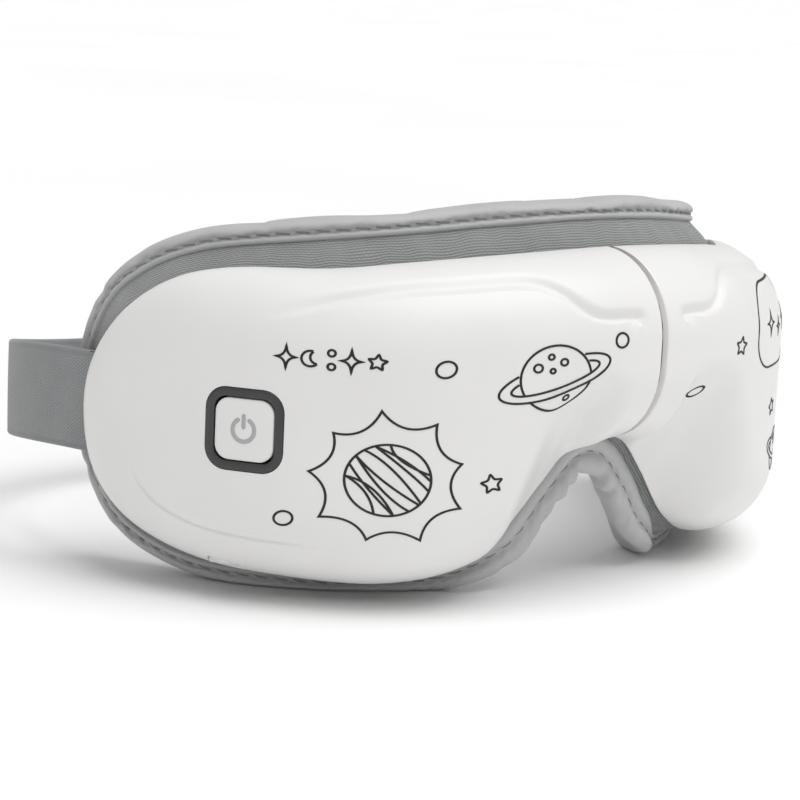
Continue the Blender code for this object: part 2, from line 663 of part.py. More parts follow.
def charging_port(shell, looks, carrier):
    """A socket that opens downwards through the shell's lower wall."""
    outline = half_outline(SHELL_LINE, SEAM, SHELL_LOBE)
    low = float(np.interp(-PORT_S, -outline[2 * EDGE_STEPS:, 0], outline[2 * EDGE_STEPS:, 1]))
    base = tangent_frame(RIGHT, PORT_S, low, 5.2)

    def at(a, b, c):
        return base(a, c, b)

    width, height, depth = CHARGE
    opening = rounded_loop(width + 2 * GAP, height + 2 * GAP, height / 2 + GAP - 0.01)
    change(shell, prism("port_opening", at, opening, -4.0, depth + 3.0, looks["shell"], carrier))
    outer = rounded_loop(width, height, height / 2 - 0.01)
    inner = rounded_loop(width - 0.8, height - 0.8, height / 2 - 0.42)

    def upside(a, b, c):
        return at(a, b, depth + PORT_LIFT - c)

    tube("charging_port", upside, outer, inner, 0.0, depth, looks["steel"], carrier, floor=1.0)


def half_internals(side, word, looks, carrier):
    patch(word + "_airbag", side, *EYE_CENTRE, *AIRBAG, looks["silicone"], carrier)
    patch(word + "_heating_pad", side, *EYE_CENTRE, *HEATING_PAD, looks["film"], carrier)
    block(word + "_air_valve", side, *VALVE_AT, VALVE, looks["black"], carrier)
    at = tangent_frame(side, *SPEAKER_AT, 0.0)
    sections = [[at(x, y, c) for x, y in disc_loop(radius, 16)] for radius, c in SPEAKER]
    sweep(word + "_speaker", sections, looks["black"], carrier)


def make_looks():
    return {
        "shell": material("shell_white", (0.86, 0.86, 0.85), 0.42),
        "bezel": material("bezel_grey", (0.05, 0.05, 0.055), 0.4),
        "black": material("black_plastic", (0.02, 0.02, 0.02), 0.5),
        "cover": material("hinge_beige", (0.55, 0.5, 0.47), 0.5),
        "frame": material("frame_grey", (0.35, 0.35, 0.36), 0.6),
        "leather": material("leather_grey", (0.36, 0.36, 0.37), 0.55),
        "knit": material("knit_grey", (0.17, 0.17, 0.18), 0.9),
        "foam": material("foam", (0.3, 0.3, 0.3), 0.95),
        "strap": material("strap_grey", (0.3, 0.3, 0.31), 0.85),
        "steel": material("steel", (0.62, 0.62, 0.63), 0.3, 1.0),
        "board": material("board_green", (0.02, 0.16, 0.07), 0.5),
        "silicone": material("silicone", (0.7, 0.7, 0.7), 0.5),
        "film": material("heating_film", (0.6, 0.35, 0.12), 0.5),
        "battery": material("battery_silver", (0.6, 0.6, 0.62), 0.4),
    }


def main():
    for old in list(bpy.data.objects):
        bpy.data.objects.remove(old, do_unlink=True)
    looks = make_looks()
    at_button = button_frame()
    fold_axis = place(0.0, 0.0, 0.0)
    root = body("right_half")
    left = body("left_half", fold_axis)
    strap_right = body("strap_right", strap_pivot(RIGHT))
    _, back_y, _, _, back_z = strap_line(RIGHT)[-1]
    strap_left = body("strap_left", place(0.0, back_y, back_z), strap_right)
    slider = body("strap_slider", place(-SLIDER_X, back_y, back_z), strap_right)
    button = body("power_button", at_button.origin)

    shells = {}
    for side, word, carrier in ((RIGHT, "right", root), (LEFT, "left", left)):
        shells[word] = front_shell(side, word, looks["shell"], carrier)
        back_frame(side, word, looks["frame"], carrier)
        screws(side, word, looks["steel"], carrier)
        band(word + "_knit_gusset", side, 0.0, GUSSET, looks["knit"], carrier)
        band(word + "_foam_pad", side, GUSSET + FOAM_GAP, FOAM_WIDTH, looks["foam"], carrier)
        face_cushion(side, word, looks["leather"], carrier)
        strap_anchor(side, word, looks["black"], carrier)
        half_internals(side, word, looks, carrier)
        axis_at = vibration_motor(side, word, looks, carrier)
        weight = body(word + "_motor_weight", axis_at.origin, left if side == LEFT else None)
        motor_weight(side, word, axis_at, looks["steel"], weight)

    hinge_pin(looks["steel"], root)
    hinge_leaf("right_hinge_leaf", RIGHT, 3.5, 16.5, looks["steel"], root)
    hinge_leaf("left_upper_hinge_leaf", LEFT, 17.5, 26.5, looks["steel"], left)
    hinge_leaf("left_lower_hinge_leaf", LEFT, -6.5, 2.5, looks["steel"], left)
    hinge_cover(looks["cover"], root)
    bridge_cushion(looks["leather"], root)
    bridge_gusset("upper_bridge_gusset", True, looks["knit"], root)
    bridge_gusset("lower_bridge_gusset", False, looks["knit"], root)

    button_parts(shells["right"], at_button, looks, root, button)
    charging_port(shells["right"], looks, root)
    block("battery_pack", RIGHT, *BATTERY_AT, BATTERY, looks["battery"], root, 2.0)
    block("air_pump", LEFT, *PUMP_AT, PUMP, looks["black"], left, 2.0)
    motor_at = tangent_frame(LEFT, *PUMP_MOTOR_AT)
    radius, *ends = PUMP_MOTOR
    sections = [[motor_at(x, c, y) for x, y in disc_loop(radius, 16)] for c in ends]
    sweep("pump_motor", sections, looks["steel"], left)
    hose("left_air_hose", LEFT, HOSE_ROUTE, HOSE_RADIUS, looks["silicone"], left)

    strap_half("strap_right", RIGHT, looks["strap"], strap_right)
    strap_half("strap_left", LEFT, looks["strap"], strap_left)
    strap_slider(looks["bezel"], slider)


main()
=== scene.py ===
"""Eye massager mask: finished surfaces, soft goods, studio and camera, built over its solid frame.

Most pieces are drawn on an unrolled sheet, in millimetres, and wrapped: s runs along the wrap from
the nose (negative on the wearer's right), z is the height above the rim's base line, and d is the
distance in front of the shells' rim (negative towards the face). wrapped() turns them into metres.
"""

import math

import bmesh
import bpy
import numpy as np
from mathutils import Matrix, Vector
from mathutils.kdtree import KDTree


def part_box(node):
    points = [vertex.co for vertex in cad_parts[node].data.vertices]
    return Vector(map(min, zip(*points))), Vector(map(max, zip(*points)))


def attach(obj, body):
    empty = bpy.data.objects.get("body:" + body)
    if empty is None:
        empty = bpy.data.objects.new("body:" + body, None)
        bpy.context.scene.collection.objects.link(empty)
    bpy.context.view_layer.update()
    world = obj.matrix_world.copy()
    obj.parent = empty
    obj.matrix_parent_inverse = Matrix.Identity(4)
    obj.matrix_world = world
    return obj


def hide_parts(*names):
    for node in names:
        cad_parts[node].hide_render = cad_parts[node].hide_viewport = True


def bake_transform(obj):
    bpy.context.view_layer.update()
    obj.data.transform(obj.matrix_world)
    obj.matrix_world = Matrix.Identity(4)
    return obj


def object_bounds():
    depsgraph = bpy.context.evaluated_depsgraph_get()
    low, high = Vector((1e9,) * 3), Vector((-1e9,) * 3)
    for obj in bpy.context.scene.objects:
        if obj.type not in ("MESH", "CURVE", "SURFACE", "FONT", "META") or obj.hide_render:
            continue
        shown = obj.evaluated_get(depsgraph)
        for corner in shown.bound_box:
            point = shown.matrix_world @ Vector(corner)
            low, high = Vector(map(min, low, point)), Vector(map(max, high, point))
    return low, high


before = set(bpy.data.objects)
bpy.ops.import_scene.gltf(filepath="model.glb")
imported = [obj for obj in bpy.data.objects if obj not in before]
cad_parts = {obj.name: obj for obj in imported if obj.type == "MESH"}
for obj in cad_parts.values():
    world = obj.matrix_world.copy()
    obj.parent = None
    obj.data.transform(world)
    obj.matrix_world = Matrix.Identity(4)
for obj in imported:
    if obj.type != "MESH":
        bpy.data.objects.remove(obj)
CAD_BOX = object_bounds()

MM = 0.001
RIGHT, LEFT = -1, 1

# Wrap, from the frame: the pin stands on the rim's base line at the nose
PIN_LOW, PIN_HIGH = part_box("hinge_pin")
BASE_Y = (PIN_LOW[1] + PIN_HIGH[1]) / 2
BASE_Z = PIN_LOW[2] + 8.6 * MM
WRAP_RADIUS = 98.5

# Shells
BRIDGE_DEPTH, END_DEPTH = 20.0, 9.0
EDGE_ROUND = 20.0
WALL = 1.8
SEAM = 0.8
LOBE = 95.0
LOBE_Z = -8.0
# the border slopes more gently beside the nose, between these places and below these heights
NOTCH_SPAN = (7.0, 15.0, 20.0, 36.0)
NOTCH_HEIGHT = (-4.0, 12.0)
NOTCH_ROUND, NOTCH_SLOPE = 14.0, 0.6
SHELL_LINE = [(0, 32.6), (25, 31.7), (50, 29.6), (70, 27.4), (92, 26.4), (107, 22.6), (120, 13.5),
              (128, 1), (129.6, -12), (126, -25), (116, -35), (98, -41.6), (77, -44), (57, -44.8),
              (41, -42), (28, -35), (17, -23), (9, -15), (0, -12.8)]
CUSHION_LINE = [(0, 42.8), (27, 41.8), (54, 39.4), (88, 35.8), (106, 32.6), (121, 26.6), (133, 17.5),
                (140.5, 3), (142, -12), (138.5, -26), (127, -40), (106, -48), (80, -49.9), (57, -49.9),
                (36, -48.4), (20, -41.5), (9, -29), (0, -22)]
UPPER_CREASE = [(84, 16.6), (70, 20.8), (56, 23.8), (44, 25), (33, 25.9), (27.5, 25.6), (23.5, 23.9),
                (20, 21.0), (17, 19.2), (13.5, 18.5), (9, 18.5), (4, 18.1)]
LOWER_CREASE = [(113, -15), (110.5, -22), (106.5, -26.8), (101, -29.8), (94, -31.8), (86, -32.7),
                (76, -33.1), (62, -33.5)]

# Soft parts
KNIT_INSET, KNIT_FRONT, KNIT_STEP = 2.0, -0.35, -2.7
STEP_SPAN, STEP_RISE = (101, 106), (14, 21)   # where the knit steps back behind the strap
FLANGE = 4.5
KNIT_END = -7.25
STITCH_PITCH, STITCH_SHARE = 4.6, 0.74
KNIT_WIDE, KNIT_THICK = 11.0, 1.0
CUSHION_BACK = -18.4
EYE_RECESS = 4.5
NOSE_PROFILE_SPAN = (24, 44)   # the leather's section changes to the notch's between these places
GATHER_SPAN, GATHER_PITCH = (5, 15), 6.0
GATHER_DEEP, GATHER_FAINT, GATHER_FORWARD = 2.3, 0.2, 1.2
BACK_INSET, NOSE_BACK_INSET = 6.5, 12.6

PORT_S = 90.0             # the charging socket's place along the right shell

# Strap
STRAP_WIDTH, STRAP_THICK = 24.3, 1.8
STRAP_START, STRAP_DEPTH, STRAP_Z = 131.2, -1.1, -9.0
STRAP_BEND, STRAP_DROP = 59.0, 11.5
STRAP_FROM, STRAP_STEP = 121.0, 1.6   # where the strap starts along the wrap, and its sampling
STRAP_BACK = 100.0        # the strap is straight this far behind the rim's base line
SLIDER_X = 26.0

# Button
BUTTON_S, BUTTON_Z = 85.5, -8.0
BEZEL, BEZEL_CORNER, BEZEL_BAND = 18.7, 5.0, 2.0
CAP, CAP_CORNER = 14.1, 3.4
BUTTON_SPAN, BUTTON_SAMPLES = 14, 57   # the shell's curve is followed this far each way
OPENING_GAP = 0.3
CAP_TOP = 0.12
SYMBOL_RADIUS, SYMBOL_WIDTH = 2.6, 1.05
LINE_WIDTH = 0.54         # of the printed art
LINE_LIFT, LINE_SINK = 0.09, -0.04

# Mesh fineness: steps along each third of a half's outline
SHELL_STEPS, STEPS = 128, 88
GROOVE_ROW = 7            # the leather's row that holds the stitches
PUFFED_ROWS, PUFF_CAP = (GROOVE_ROW + 2, 18), 1.1   # the rows that swell freely, and how far
FLOOR_Z = float((CAD_BOX[0][2] - BASE_Z) / MM) + 0.02

# Studio
FLOOR_REACH, FLOOR_GAP = 60.0, 0.0002
SKY = 0.52                # strength of the light from all round; the backdrop itself shows white
SUN_STRENGTH, SUN_SIZE, SUN_FROM = 1.9, 50, (0.12, -0.34, 1.0)
AZIMUTH, ELEVATION, ROLL = -41.14, 10.39, 2.705
DISTANCE, LENS = 0.5198, 106.44
LOOK_X, LOOK_UP = -0.06279, 0.00117


# ---- geometry
def wrapped(rows):
    """(s, z, d) rows in mm as points in metres."""
    rows = np.asarray(rows, float)
    angle, radius = rows[:, 0] / WRAP_RADIUS, WRAP_RADIUS + rows[:, 2]
    return np.column_stack([radius * np.sin(angle) * MM,
                            BASE_Y + (WRAP_RADIUS - radius * np.cos(angle)) * MM,
                            BASE_Z + rows[:, 1] * MM])


def smoothstep(x, low, high):
    t = np.clip((np.asarray(x, float) - low) / (high - low), 0, 1)
    return t * t * (3 - 2 * t)


def smooth_line(points, steps=40):
    """A Catmull-Rom curve through the points, mirrored where an end is on the middle line."""
    pts = np.array(points, float)
    before = np.array([-pts[1][0], pts[1][1]]) if pts[0][0] == 0 else 2 * pts[0] - pts[1]
    after = np.array([-pts[-2][0], pts[-2][1]]) if pts[-1][0] == 0 else 2 * pts[-1] - pts[-2]
    chain = np.vstack([before, pts, after])
    t = np.linspace(0, 1, steps, endpoint=False)[:, None]
    pieces = [0.5 * (2 * b + (c - a) * t + (2 * a - 5 * b + 4 * c - d) * t ** 2
                     + (3 * b - a - 3 * c + d) * t ** 3)
              for a, b, c, d in zip(chain, chain[1:], chain[2:], chain[3:])]
    return np.vstack(pieces + [pts[-1:]])


def lengths(line):
    return np.r_[0, np.cumsum(np.linalg.norm(np.diff(line, axis=0), axis=1))]


def at_shares(line, shares):
    """Points of a line at shares of its length."""
    run = lengths(line)
    return np.column_stack([np.interp(np.asarray(shares) * run[-1], run, line[:, i])
                            for i in range(line.shape[1])])


def normals(line, closed=False):
    """Unit vectors square to a line, to the right of its direction."""
    if closed:
        way = np.roll(line, -1, 0) - np.roll(line, 1, 0)
    else:
        way = np.gradient(line, axis=0)
    side = np.column_stack([way[:, 1], -way[:, 0]])
    return side / np.linalg.norm(side, axis=1)[:, None]


def half_outline(points, seam, steps, inset=0.0, packed=1.0):
    """One half's outline from the seam's top, round the temple, to the seam's bottom.

    packed above 1 crowds the samples towards the seam. Also gives each sample's share of the way
    from the seam to the lobe, which pairs it with a point of the half's middle line.
    """
    line = smooth_line(points)
    line = line + inset * normals(line)
    line = line[line[:, 0] >= seam - 0.5]
    line[0, 0] = line[-1, 0] = seam
    line = line[line[:, 0] >= seam]
    past = np.where(line[:, 0] > LOBE)[0]
    even = np.linspace(0, 1, steps + 1)
    top = at_shares(line[:past[0] + 1], even ** packed)
    lobe = at_shares(line[past[0]:past[-1] + 1], even)
    bottom = at_shares(line[past[-1]:], 1 - even[::-1] ** packed)
    share = np.r_[even ** packed, np.ones(steps - 1), even[::-1] ** packed]
    return np.vstack([top, lobe[1:], bottom[1:]]), share


def spine(outline, share, seam):
    start = (outline[0, 1] + outline[-1, 1]) / 2
    return np.column_stack([seam + (LOBE - seam) * share, start + (LOBE_Z - start) * share])


def distance_to(points, line):
    """Distance from each point to a polyline, the side it lies on, and how far along it is."""
    a, b = line[:-1], line[1:]
    step = b - a
    size = (step ** 2).sum(1)
    run = lengths(line)
    best = np.full(len(points), np.inf)
    side, along = np.zeros(len(points)), np.zeros(len(points))
    for p0, v, n, start in zip(a, step, size, run):
        off = points - p0
        t = np.clip(off @ v / n, 0, 1)
        gap = np.linalg.norm(off - t[:, None] * v, axis=1)
        near = gap < best
        best[near] = gap[near]
        side[near] = np.sign(v[0] * off[near, 1] - v[1] * off[near, 0])
        along[near] = start + t[near] * math.sqrt(n)
    return best, side, along


SHELL_EDGE = at_shares(half_outline(SHELL_LINE, SEAM, 40)[0], np.linspace(0, 1, 260))
INNER_EDGE = at_shares(half_outline(SHELL_LINE, SEAM, 40, WALL)[0], np.linspace(0, 1, 200))


def crown(s):
    return BRIDGE_DEPTH - (BRIDGE_DEPTH - END_DEPTH) * smoothstep(s, 45, 125)


def domed(points, edge, wall=0.0):
    """Depth of a shell's face over its rounded border, without its creases."""
    s, z = points[:, 0], points[:, 1]
    gap, _, _ = distance_to(points, edge)
    notch = smoothstep(s, *NOTCH_SPAN[:2]) * (1 - smoothstep(s, *NOTCH_SPAN[2:]))
    notch *= 1 - smoothstep(z, *NOTCH_HEIGHT)
    t = np.clip(gap / (EDGE_ROUND + NOTCH_ROUND * notch - wall), 0, 1)
    return (crown(s) - wall) * (1 - (1 - t) ** 2) ** (0.5 + NOTCH_SLOPE * notch)


def creases(points):
    """How deep the moulded creases cut into the face: a broad upper wall and a tight lower lip."""
    cut = np.zeros(len(points))
    for line, above, below, depth, fade in ((UPPER_CREASE, 3.0, 0.8, 1.5, (22.0, 3.0)),
                                            (LOWER_CREASE, 1.6, 0.6, 0.45, (10.0, 20.0))):
        path = smooth_line(line, 8)
        gap, side, along = distance_to(points, path)
        total = lengths(path)[-1]
        width = np.where(side < 0, above, below)
        strength = smoothstep(along, 0, fade[0]) * (1 - smoothstep(along, total - fade[1], total))
        cut += depth * strength * (1 - smoothstep(gap / width, 0, 1))
    return cut


def face_depth(points):
    """Depth of a shell's visible face at (|s|, z) points."""
    seam_round = np.clip(1 - (points[:, 0] - SEAM) / 0.7, 0, 1)
    return domed(points, SHELL_EDGE) - creases(points) - 0.4 * (1 - np.sqrt(1 - 0.96 * seam_round ** 2))


def on_face(side, points, lift):
    """Points of the unrolled sheet laid lift mm above a shell's face."""
    points = np.asarray(points, float)
    depth = face_depth(points)
    return wrapped(np.column_stack([side * points[:, 0], points[:, 1], depth + lift]))


# ---- meshes
def piece(name, points, faces, look, sharp=40):
    mesh = bpy.data.meshes.new(name)
    mesh.from_pydata(np.asarray(points).tolist(), [], faces)
    work = bmesh.new()
    work.from_mesh(mesh)
    bmesh.ops.recalc_face_normals(work, faces=work.faces)
    work.to_mesh(mesh)
    work.free()
    mesh.materials.append(look)
    mesh.shade_smooth()
    if sharp:
        mesh.set_sharp_from_angle(angle=math.radians(sharp))
    made = bpy.data.objects.new(name, mesh)
    bpy.context.scene.collection.objects.link(made)
    return made


def strip_faces(rows, columns, closed_columns=False, closed_rows=False, base=0):
    """Quads over a grid of rows by columns."""
    faces = []
    for r in range(rows if closed_rows else rows - 1):
        for k in range(columns if closed_columns else columns - 1):
            a, b = r * columns, (r + 1) % rows * columns
            n = (k + 1) % columns
            faces.append((base + a + k, base + a + n, base + b + n, base + b + k))
    return faces


def apply_modifiers(target):
    """Keeps the result of a piece's modifiers as its mesh."""
    shaped = bpy.data.meshes.new_from_object(
        target.evaluated_get(bpy.context.evaluated_depsgraph_get()))
    target.modifiers.clear()
    target.data = shaped


def cut(target, tool):
    """Cuts tool out of target, and removes it."""
    step = target.modifiers.new("cut", "BOOLEAN")
    step.operation = "DIFFERENCE"
    step.object = tool
    apply_modifiers(target)
    bpy.data.objects.remove(tool)
    target.data.set_sharp_from_angle(angle=math.radians(40))


def loops_piece(name, loops, look, cap_first=True, cap_last=True, sharp=40):
    """A solid through a row of closed loops with equal counts."""
    size = len(loops[0])
    points = np.vstack(loops)
    faces = strip_faces(len(loops), size, closed_columns=True)
    if cap_first:
        faces.append(tuple(range(size)))
    if cap_last:
        faces.append(tuple(range(len(points) - size, len(points))))
    return piece(name, points, faces, look, sharp)


def set_weave(target, values, span=None):
    """Stores each point's (along, across) in mm on the corners, so that the weave can follow it.

    span is the length of a band that closes on itself.
    """
    layer = target.data.uv_layers.new(name="weave")
    for loop in target.data.loops:
        layer.data[loop.index].uv = values[loop.vertex_index]
    if span is None:
        return
    for polygon in target.data.polygons:
        corners = [layer.data[i].uv for i in polygon.loop_indices]
        if max(c[0] for c in corners) - min(c[0] for c in corners) > span / 2:
            for c in corners:
                if c[0] < span / 2:
                    c[0] += span


def keep_rest(target):
    """Stores each point's place in mm at rest, so that a grain stays put as the piece bends."""
    layer = target.data.attributes.new("rest_place", "FLOAT_VECTOR", "POINT")
    places = np.empty(len(target.data.vertices) * 3)
    target.data.vertices.foreach_get("co", places)
    layer.data.foreach_set("vector", (places / MM).astype(np.float32))


def rounded_loop(width, height, corner, steps=8, between=4):
    """A rectangle with round corners, as (x, y) points, with some along each side."""
    loop = []
    ring = ((1, 1, 0), (-1, 1, 90), (-1, -1, 180), (1, -1, 270))
    for cx, cy, start in ring:
        for i in range(steps + 1):
            a = math.radians(start + 90 * i / steps)
            loop.append((cx * (width / 2 - corner) + corner * math.cos(a),
                         cy * (height / 2 - corner) + corner * math.sin(a)))
    full = []
    for i, p in enumerate(loop):
        q = loop[(i + 1) % len(loop)]
        full.append(p)
        if i % (steps + 1) == steps:
            full += [tuple(np.add(p, (np.subtract(q, p)) * j / between)) for j in range(1, between)]
    return np.array(full)


# ---- materials
class Graph:
    """A material's node tree, with short ways to add nodes."""

    def __init__(self, name):
        self.material = bpy.data.materials.new(name)
        self.material.use_nodes = True
        self.tree = self.material.node_tree
        self.shader = self.tree.nodes["Principled BSDF"]

    def add(self, kind, inputs=None, **settings):
        node = self.tree.nodes.new("ShaderNode" + kind)
        for key, value in settings.items():
            setattr(node, key, value)
        self.feed(node, inputs or {})
        return node

    def feed(self, node, inputs):
        for key, value in inputs.items():
            if isinstance(value, bpy.types.NodeSocket):
                self.tree.links.new(value, node.inputs[key])
            else:
                node.inputs[key].default_value = value

    def math(self, operation, a, b=0.0):
        return self.add("Math", {0: a, 1: b}, operation=operation).outputs[0]

    def rest(self):
        """Each point's place in mm before the piece bends."""
        return self.add("Attribute", attribute_name="rest_place").outputs["Vector"]

    def weave(self):
        """Distances in mm along and across the fabric."""
        place = self.add("SeparateXYZ", {"Vector": self.add("UVMap", uv_map="weave").outputs["UV"]})
        return place.outputs["X"], place.outputs["Y"]

    def noise(self, where, scale, detail=3.0, roughness=0.5):
        return self.add("TexNoise", {"Vector": where, "Scale": scale, "Detail": detail,
                                     "Roughness": roughness}).outputs["Fac"]

    def spread(self, value, low, high, start=0.3, end=0.7):
        return self.add("MapRange", {"Value": value, "From Min": start, "From Max": end,
                                     "To Min": low, "To Max": high}).outputs["Result"]

    def ramp(self, value, stops):
        node = self.add("ValToRGB", {"Fac": value})
        ramp = node.color_ramp
        while len(ramp.elements) < len(stops):
            ramp.elements.new(0.5)
        for element, (place, colour) in zip(ramp.elements, stops):
            element.position = place
            element.color = (*colour, 1.0)
        return node.outputs["Color"]

    def stripes(self, value, period):
        """0 to 1 and back, once each period."""
        wave = self.math("SINE", self.math("MULTIPLY", value, 2 * math.pi / period))
        return self.spread(wave, 0.0, 1.0, -1.0, 1.0)

    def bump(self, height, distance, strength=1.0, under=None):
        inputs = {"Height": height, "Distance": distance, "Strength": strength}
        if under is not None:
            inputs["Normal"] = under
        return self.add("Bump", inputs).outputs["Normal"]

    def done(self, colour, roughness, normal=None, **plain):
        self.feed(self.shader, {"Base Color": colour, "Roughness": roughness})
        if normal is not None:
            self.feed(self.shader, {"Normal": normal})
        for key, value in plain.items():
            self.shader.inputs[key.replace("_", " ")].default_value = value
        return self.material


def moulded(name, dark, light, rough, grain=0.02, blotch=55.0, grain_size=0.25, **plain):
    """A moulded or plain part: cloudy tone, uneven gloss and a fine surface grain."""
    g = Graph(name)
    where = g.add("TexCoord").outputs["Object"]
    cloud = g.noise(where, blotch, 4.0)
    fine = g.noise(where, 1 / (grain_size * MM), 2.0)
    colour = g.ramp(cloud, [(0.35, dark), (0.65, light)])
    normal = g.bump(fine, grain * MM)
    return g.done(colour, g.spread(g.noise(where, blotch * 2.3, 3.0), *rough), normal, **plain)


def brushed(name, dark, light, rough):
    """Drawn or turned metal with fine lines one way."""
    g = Graph(name)
    where = g.add("TexCoord").outputs["Object"]
    stretched = g.add("Mapping", {"Vector": where, "Scale": (400, 400, 9000)}).outputs["Vector"]
    lines = g.noise(stretched, 1.0, 3.0)
    return g.done(g.ramp(lines, [(0.3, dark), (0.7, light)]), g.spread(lines, *rough),
                  g.bump(lines, 0.01 * MM), Metallic=1.0)


def leather_look():
    """Soft grey artificial leather: pebbled grain with painted shade in its valleys, faint creases and
    uneven gloss.
    """
    g = Graph("leather_grey")
    where = g.rest()
    warp = g.add("TexNoise", {"Vector": where, "Scale": 1.3}).outputs["Color"]
    bent = g.add("MixRGB", {"Fac": 0.35, "Color1": where, "Color2": warp},
                 blend_type="ADD").outputs["Color"]
    pebble = g.add("TexVoronoi", {"Vector": bent, "Scale": 1.55},
                   feature="DISTANCE_TO_EDGE").outputs["Distance"]
    pebble_relief_and_shade = g.spread(pebble, 0.0, 1.0, 0.0, 0.16)
    cloud = g.noise(where, 0.055, 4.0)
    crease = g.noise(where, 0.35, 5.0, 0.6)
    # the pebbles' low borders are painted a little darker as shade; the cloud is the leather's own
    # uneven tone
    tone = g.math("ADD", g.math("MULTIPLY", cloud, 0.8), g.math("MULTIPLY", pebble_relief_and_shade, 0.12))
    colour = g.ramp(tone, [(0.32, (0.455, 0.457, 0.46)), (0.68, (0.505, 0.507, 0.51))])
    normal = g.bump(pebble_relief_and_shade, 0.03 * MM, 0.7, g.bump(crease, 0.25 * MM, 0.6))
    return g.done(colour, g.spread(pebble, 0.62, 0.5, 0.0, 0.3), normal,
                  Specular_IOR_Level=0.42, Sheen_Weight=0.08)


def knit_look():
    """Fine ribbed knit: rows of small loops along the band, slightly fuzzy, with painted shade in the
    hollows between them.
    """
    g = Graph("knit_grey")
    along, across = g.weave()
    where = g.rest()
    drift = g.math("MULTIPLY", g.noise(where, 0.12, 2.0), 2.4)
    row = g.math("ADD", across, drift)
    pitch = 0.78
    ribs = g.stripes(row, pitch)
    stagger = g.math("MULTIPLY", g.math("FLOOR", g.math("DIVIDE", row, pitch)), 0.55)
    shifted = g.math("ADD", along, stagger)
    loops = g.stripes(shifted, 1.15)
    fuzz = g.noise(where, 5.5, 3.0, 0.7)
    height = g.math("ADD", g.math("MULTIPLY", ribs, g.spread(loops, 0.62, 1.0, 0.0, 1.0)),
                    g.math("MULTIPLY", fuzz, 0.45))
    cloud = g.noise(where, 0.07, 3.0)
    # colour follows the ribs' and loops' height: their hollows are painted darker as shade, and the
    # cloud adds the yarn's own uneven tone
    tone = g.math("ADD", g.math("MULTIPLY", height, 0.55), g.math("MULTIPLY", cloud, 0.3))
    colour = g.ramp(tone, [(0.18, (0.16, 0.166, 0.164)), (0.62, (0.30, 0.308, 0.306)),
                           (0.95, (0.38, 0.388, 0.386))])
    return g.done(colour, g.spread(fuzz, 0.82, 0.95), g.bump(height, 0.16 * MM, 0.9),
                  Specular_IOR_Level=0.25, Sheen_Weight=0.35, Sheen_Roughness=0.5)


def webbing_look():
    """Grey elastic webbing: a diagonal twill with plain bound edges, its weave's hollows painted darker
    as shade.
    """
    g = Graph("webbing_grey")
    along, across = g.weave()
    where = g.rest()
    twill = g.stripes(g.math("ADD", along, g.math("MULTIPLY", across, 1.25)), 1.05)
    warp = g.stripes(across, 0.62)
    weft = g.stripes(along, 0.7)
    body = g.math("ADD", g.math("MULTIPLY", twill, 0.6),
                  g.math("MULTIPLY", g.math("MULTIPLY", warp, weft), 0.5))
    edge = g.spread(g.math("ABSOLUTE", across), 1.0, 0.25, STRAP_WIDTH / 2 - 1.9, STRAP_WIDTH / 2 - 1.3)
    fuzz = g.noise(where, 4.0, 3.0, 0.7)
    height = g.math("ADD", g.math("MULTIPLY", body, edge), g.math("MULTIPLY", fuzz, 0.3))
    cloud = g.noise(where, 0.09, 3.0)
    # colour follows the weave's height, so its hollows are painted darker as shade; the cloud is the
    # yarn's own uneven tone
    tone = g.math("ADD", g.math("MULTIPLY", height, 0.5), g.math("MULTIPLY", cloud, 0.35))
    colour = g.ramp(tone, [(0.2, (0.20, 0.205, 0.21)), (0.75, (0.34, 0.345, 0.35))])
    return g.done(colour, g.spread(fuzz, 0.75, 0.9), g.bump(height, 0.14 * MM, 0.9),
                  Specular_IOR_Level=0.3, Sheen_Weight=0.3, Sheen_Roughness=0.45)


def thread_look():
    """Twisted grey sewing thread."""
    g = Graph("thread_grey")
    where = g.rest()
    twist = g.noise(where, 6.0, 2.0)
    colour = g.ramp(twist, [(0.35, (0.22, 0.222, 0.225)), (0.65, (0.31, 0.312, 0.315))])
    return g.done(colour, g.spread(twist, 0.6, 0.8), g.bump(twist, 0.05 * MM), Specular_IOR_Level=0.35)


def foam_look():
    """Grey open-cell foam, its cells' hollows painted darker as shade."""
    g = Graph("foam_grey")
    where = g.add("TexCoord").outputs["Object"]
    cells = g.add("TexVoronoi", {"Vector": where, "Scale": 1500.0}).outputs["Distance"]
    # the cells' hollows are painted darker, as shade
    return g.done(g.ramp(cells, [(0.1, (0.12, 0.12, 0.125)), (0.6, (0.3, 0.3, 0.31))]),
                  g.spread(cells, 0.85, 1.0), g.bump(cells, 0.2 * MM))


def board_look():
    """A green circuit board with faint tracks."""
    g = Graph("board_green")
    where = g.add("TexCoord").outputs["Object"]
    tracks = g.add("TexBrick", {"Vector": where, "Scale": 300.0, "Mortar Size": 0.04,
                                "Color1": (0.01, 0.13, 0.05, 1), "Color2": (0.012, 0.16, 0.06, 1),
                                "Mortar": (0.03, 0.26, 0.1, 1)})
    return g.done(tracks.outputs["Color"], g.spread(g.noise(where, 600.0), 0.35, 0.5),
                  g.bump(tracks.outputs["Fac"], 0.03 * MM))


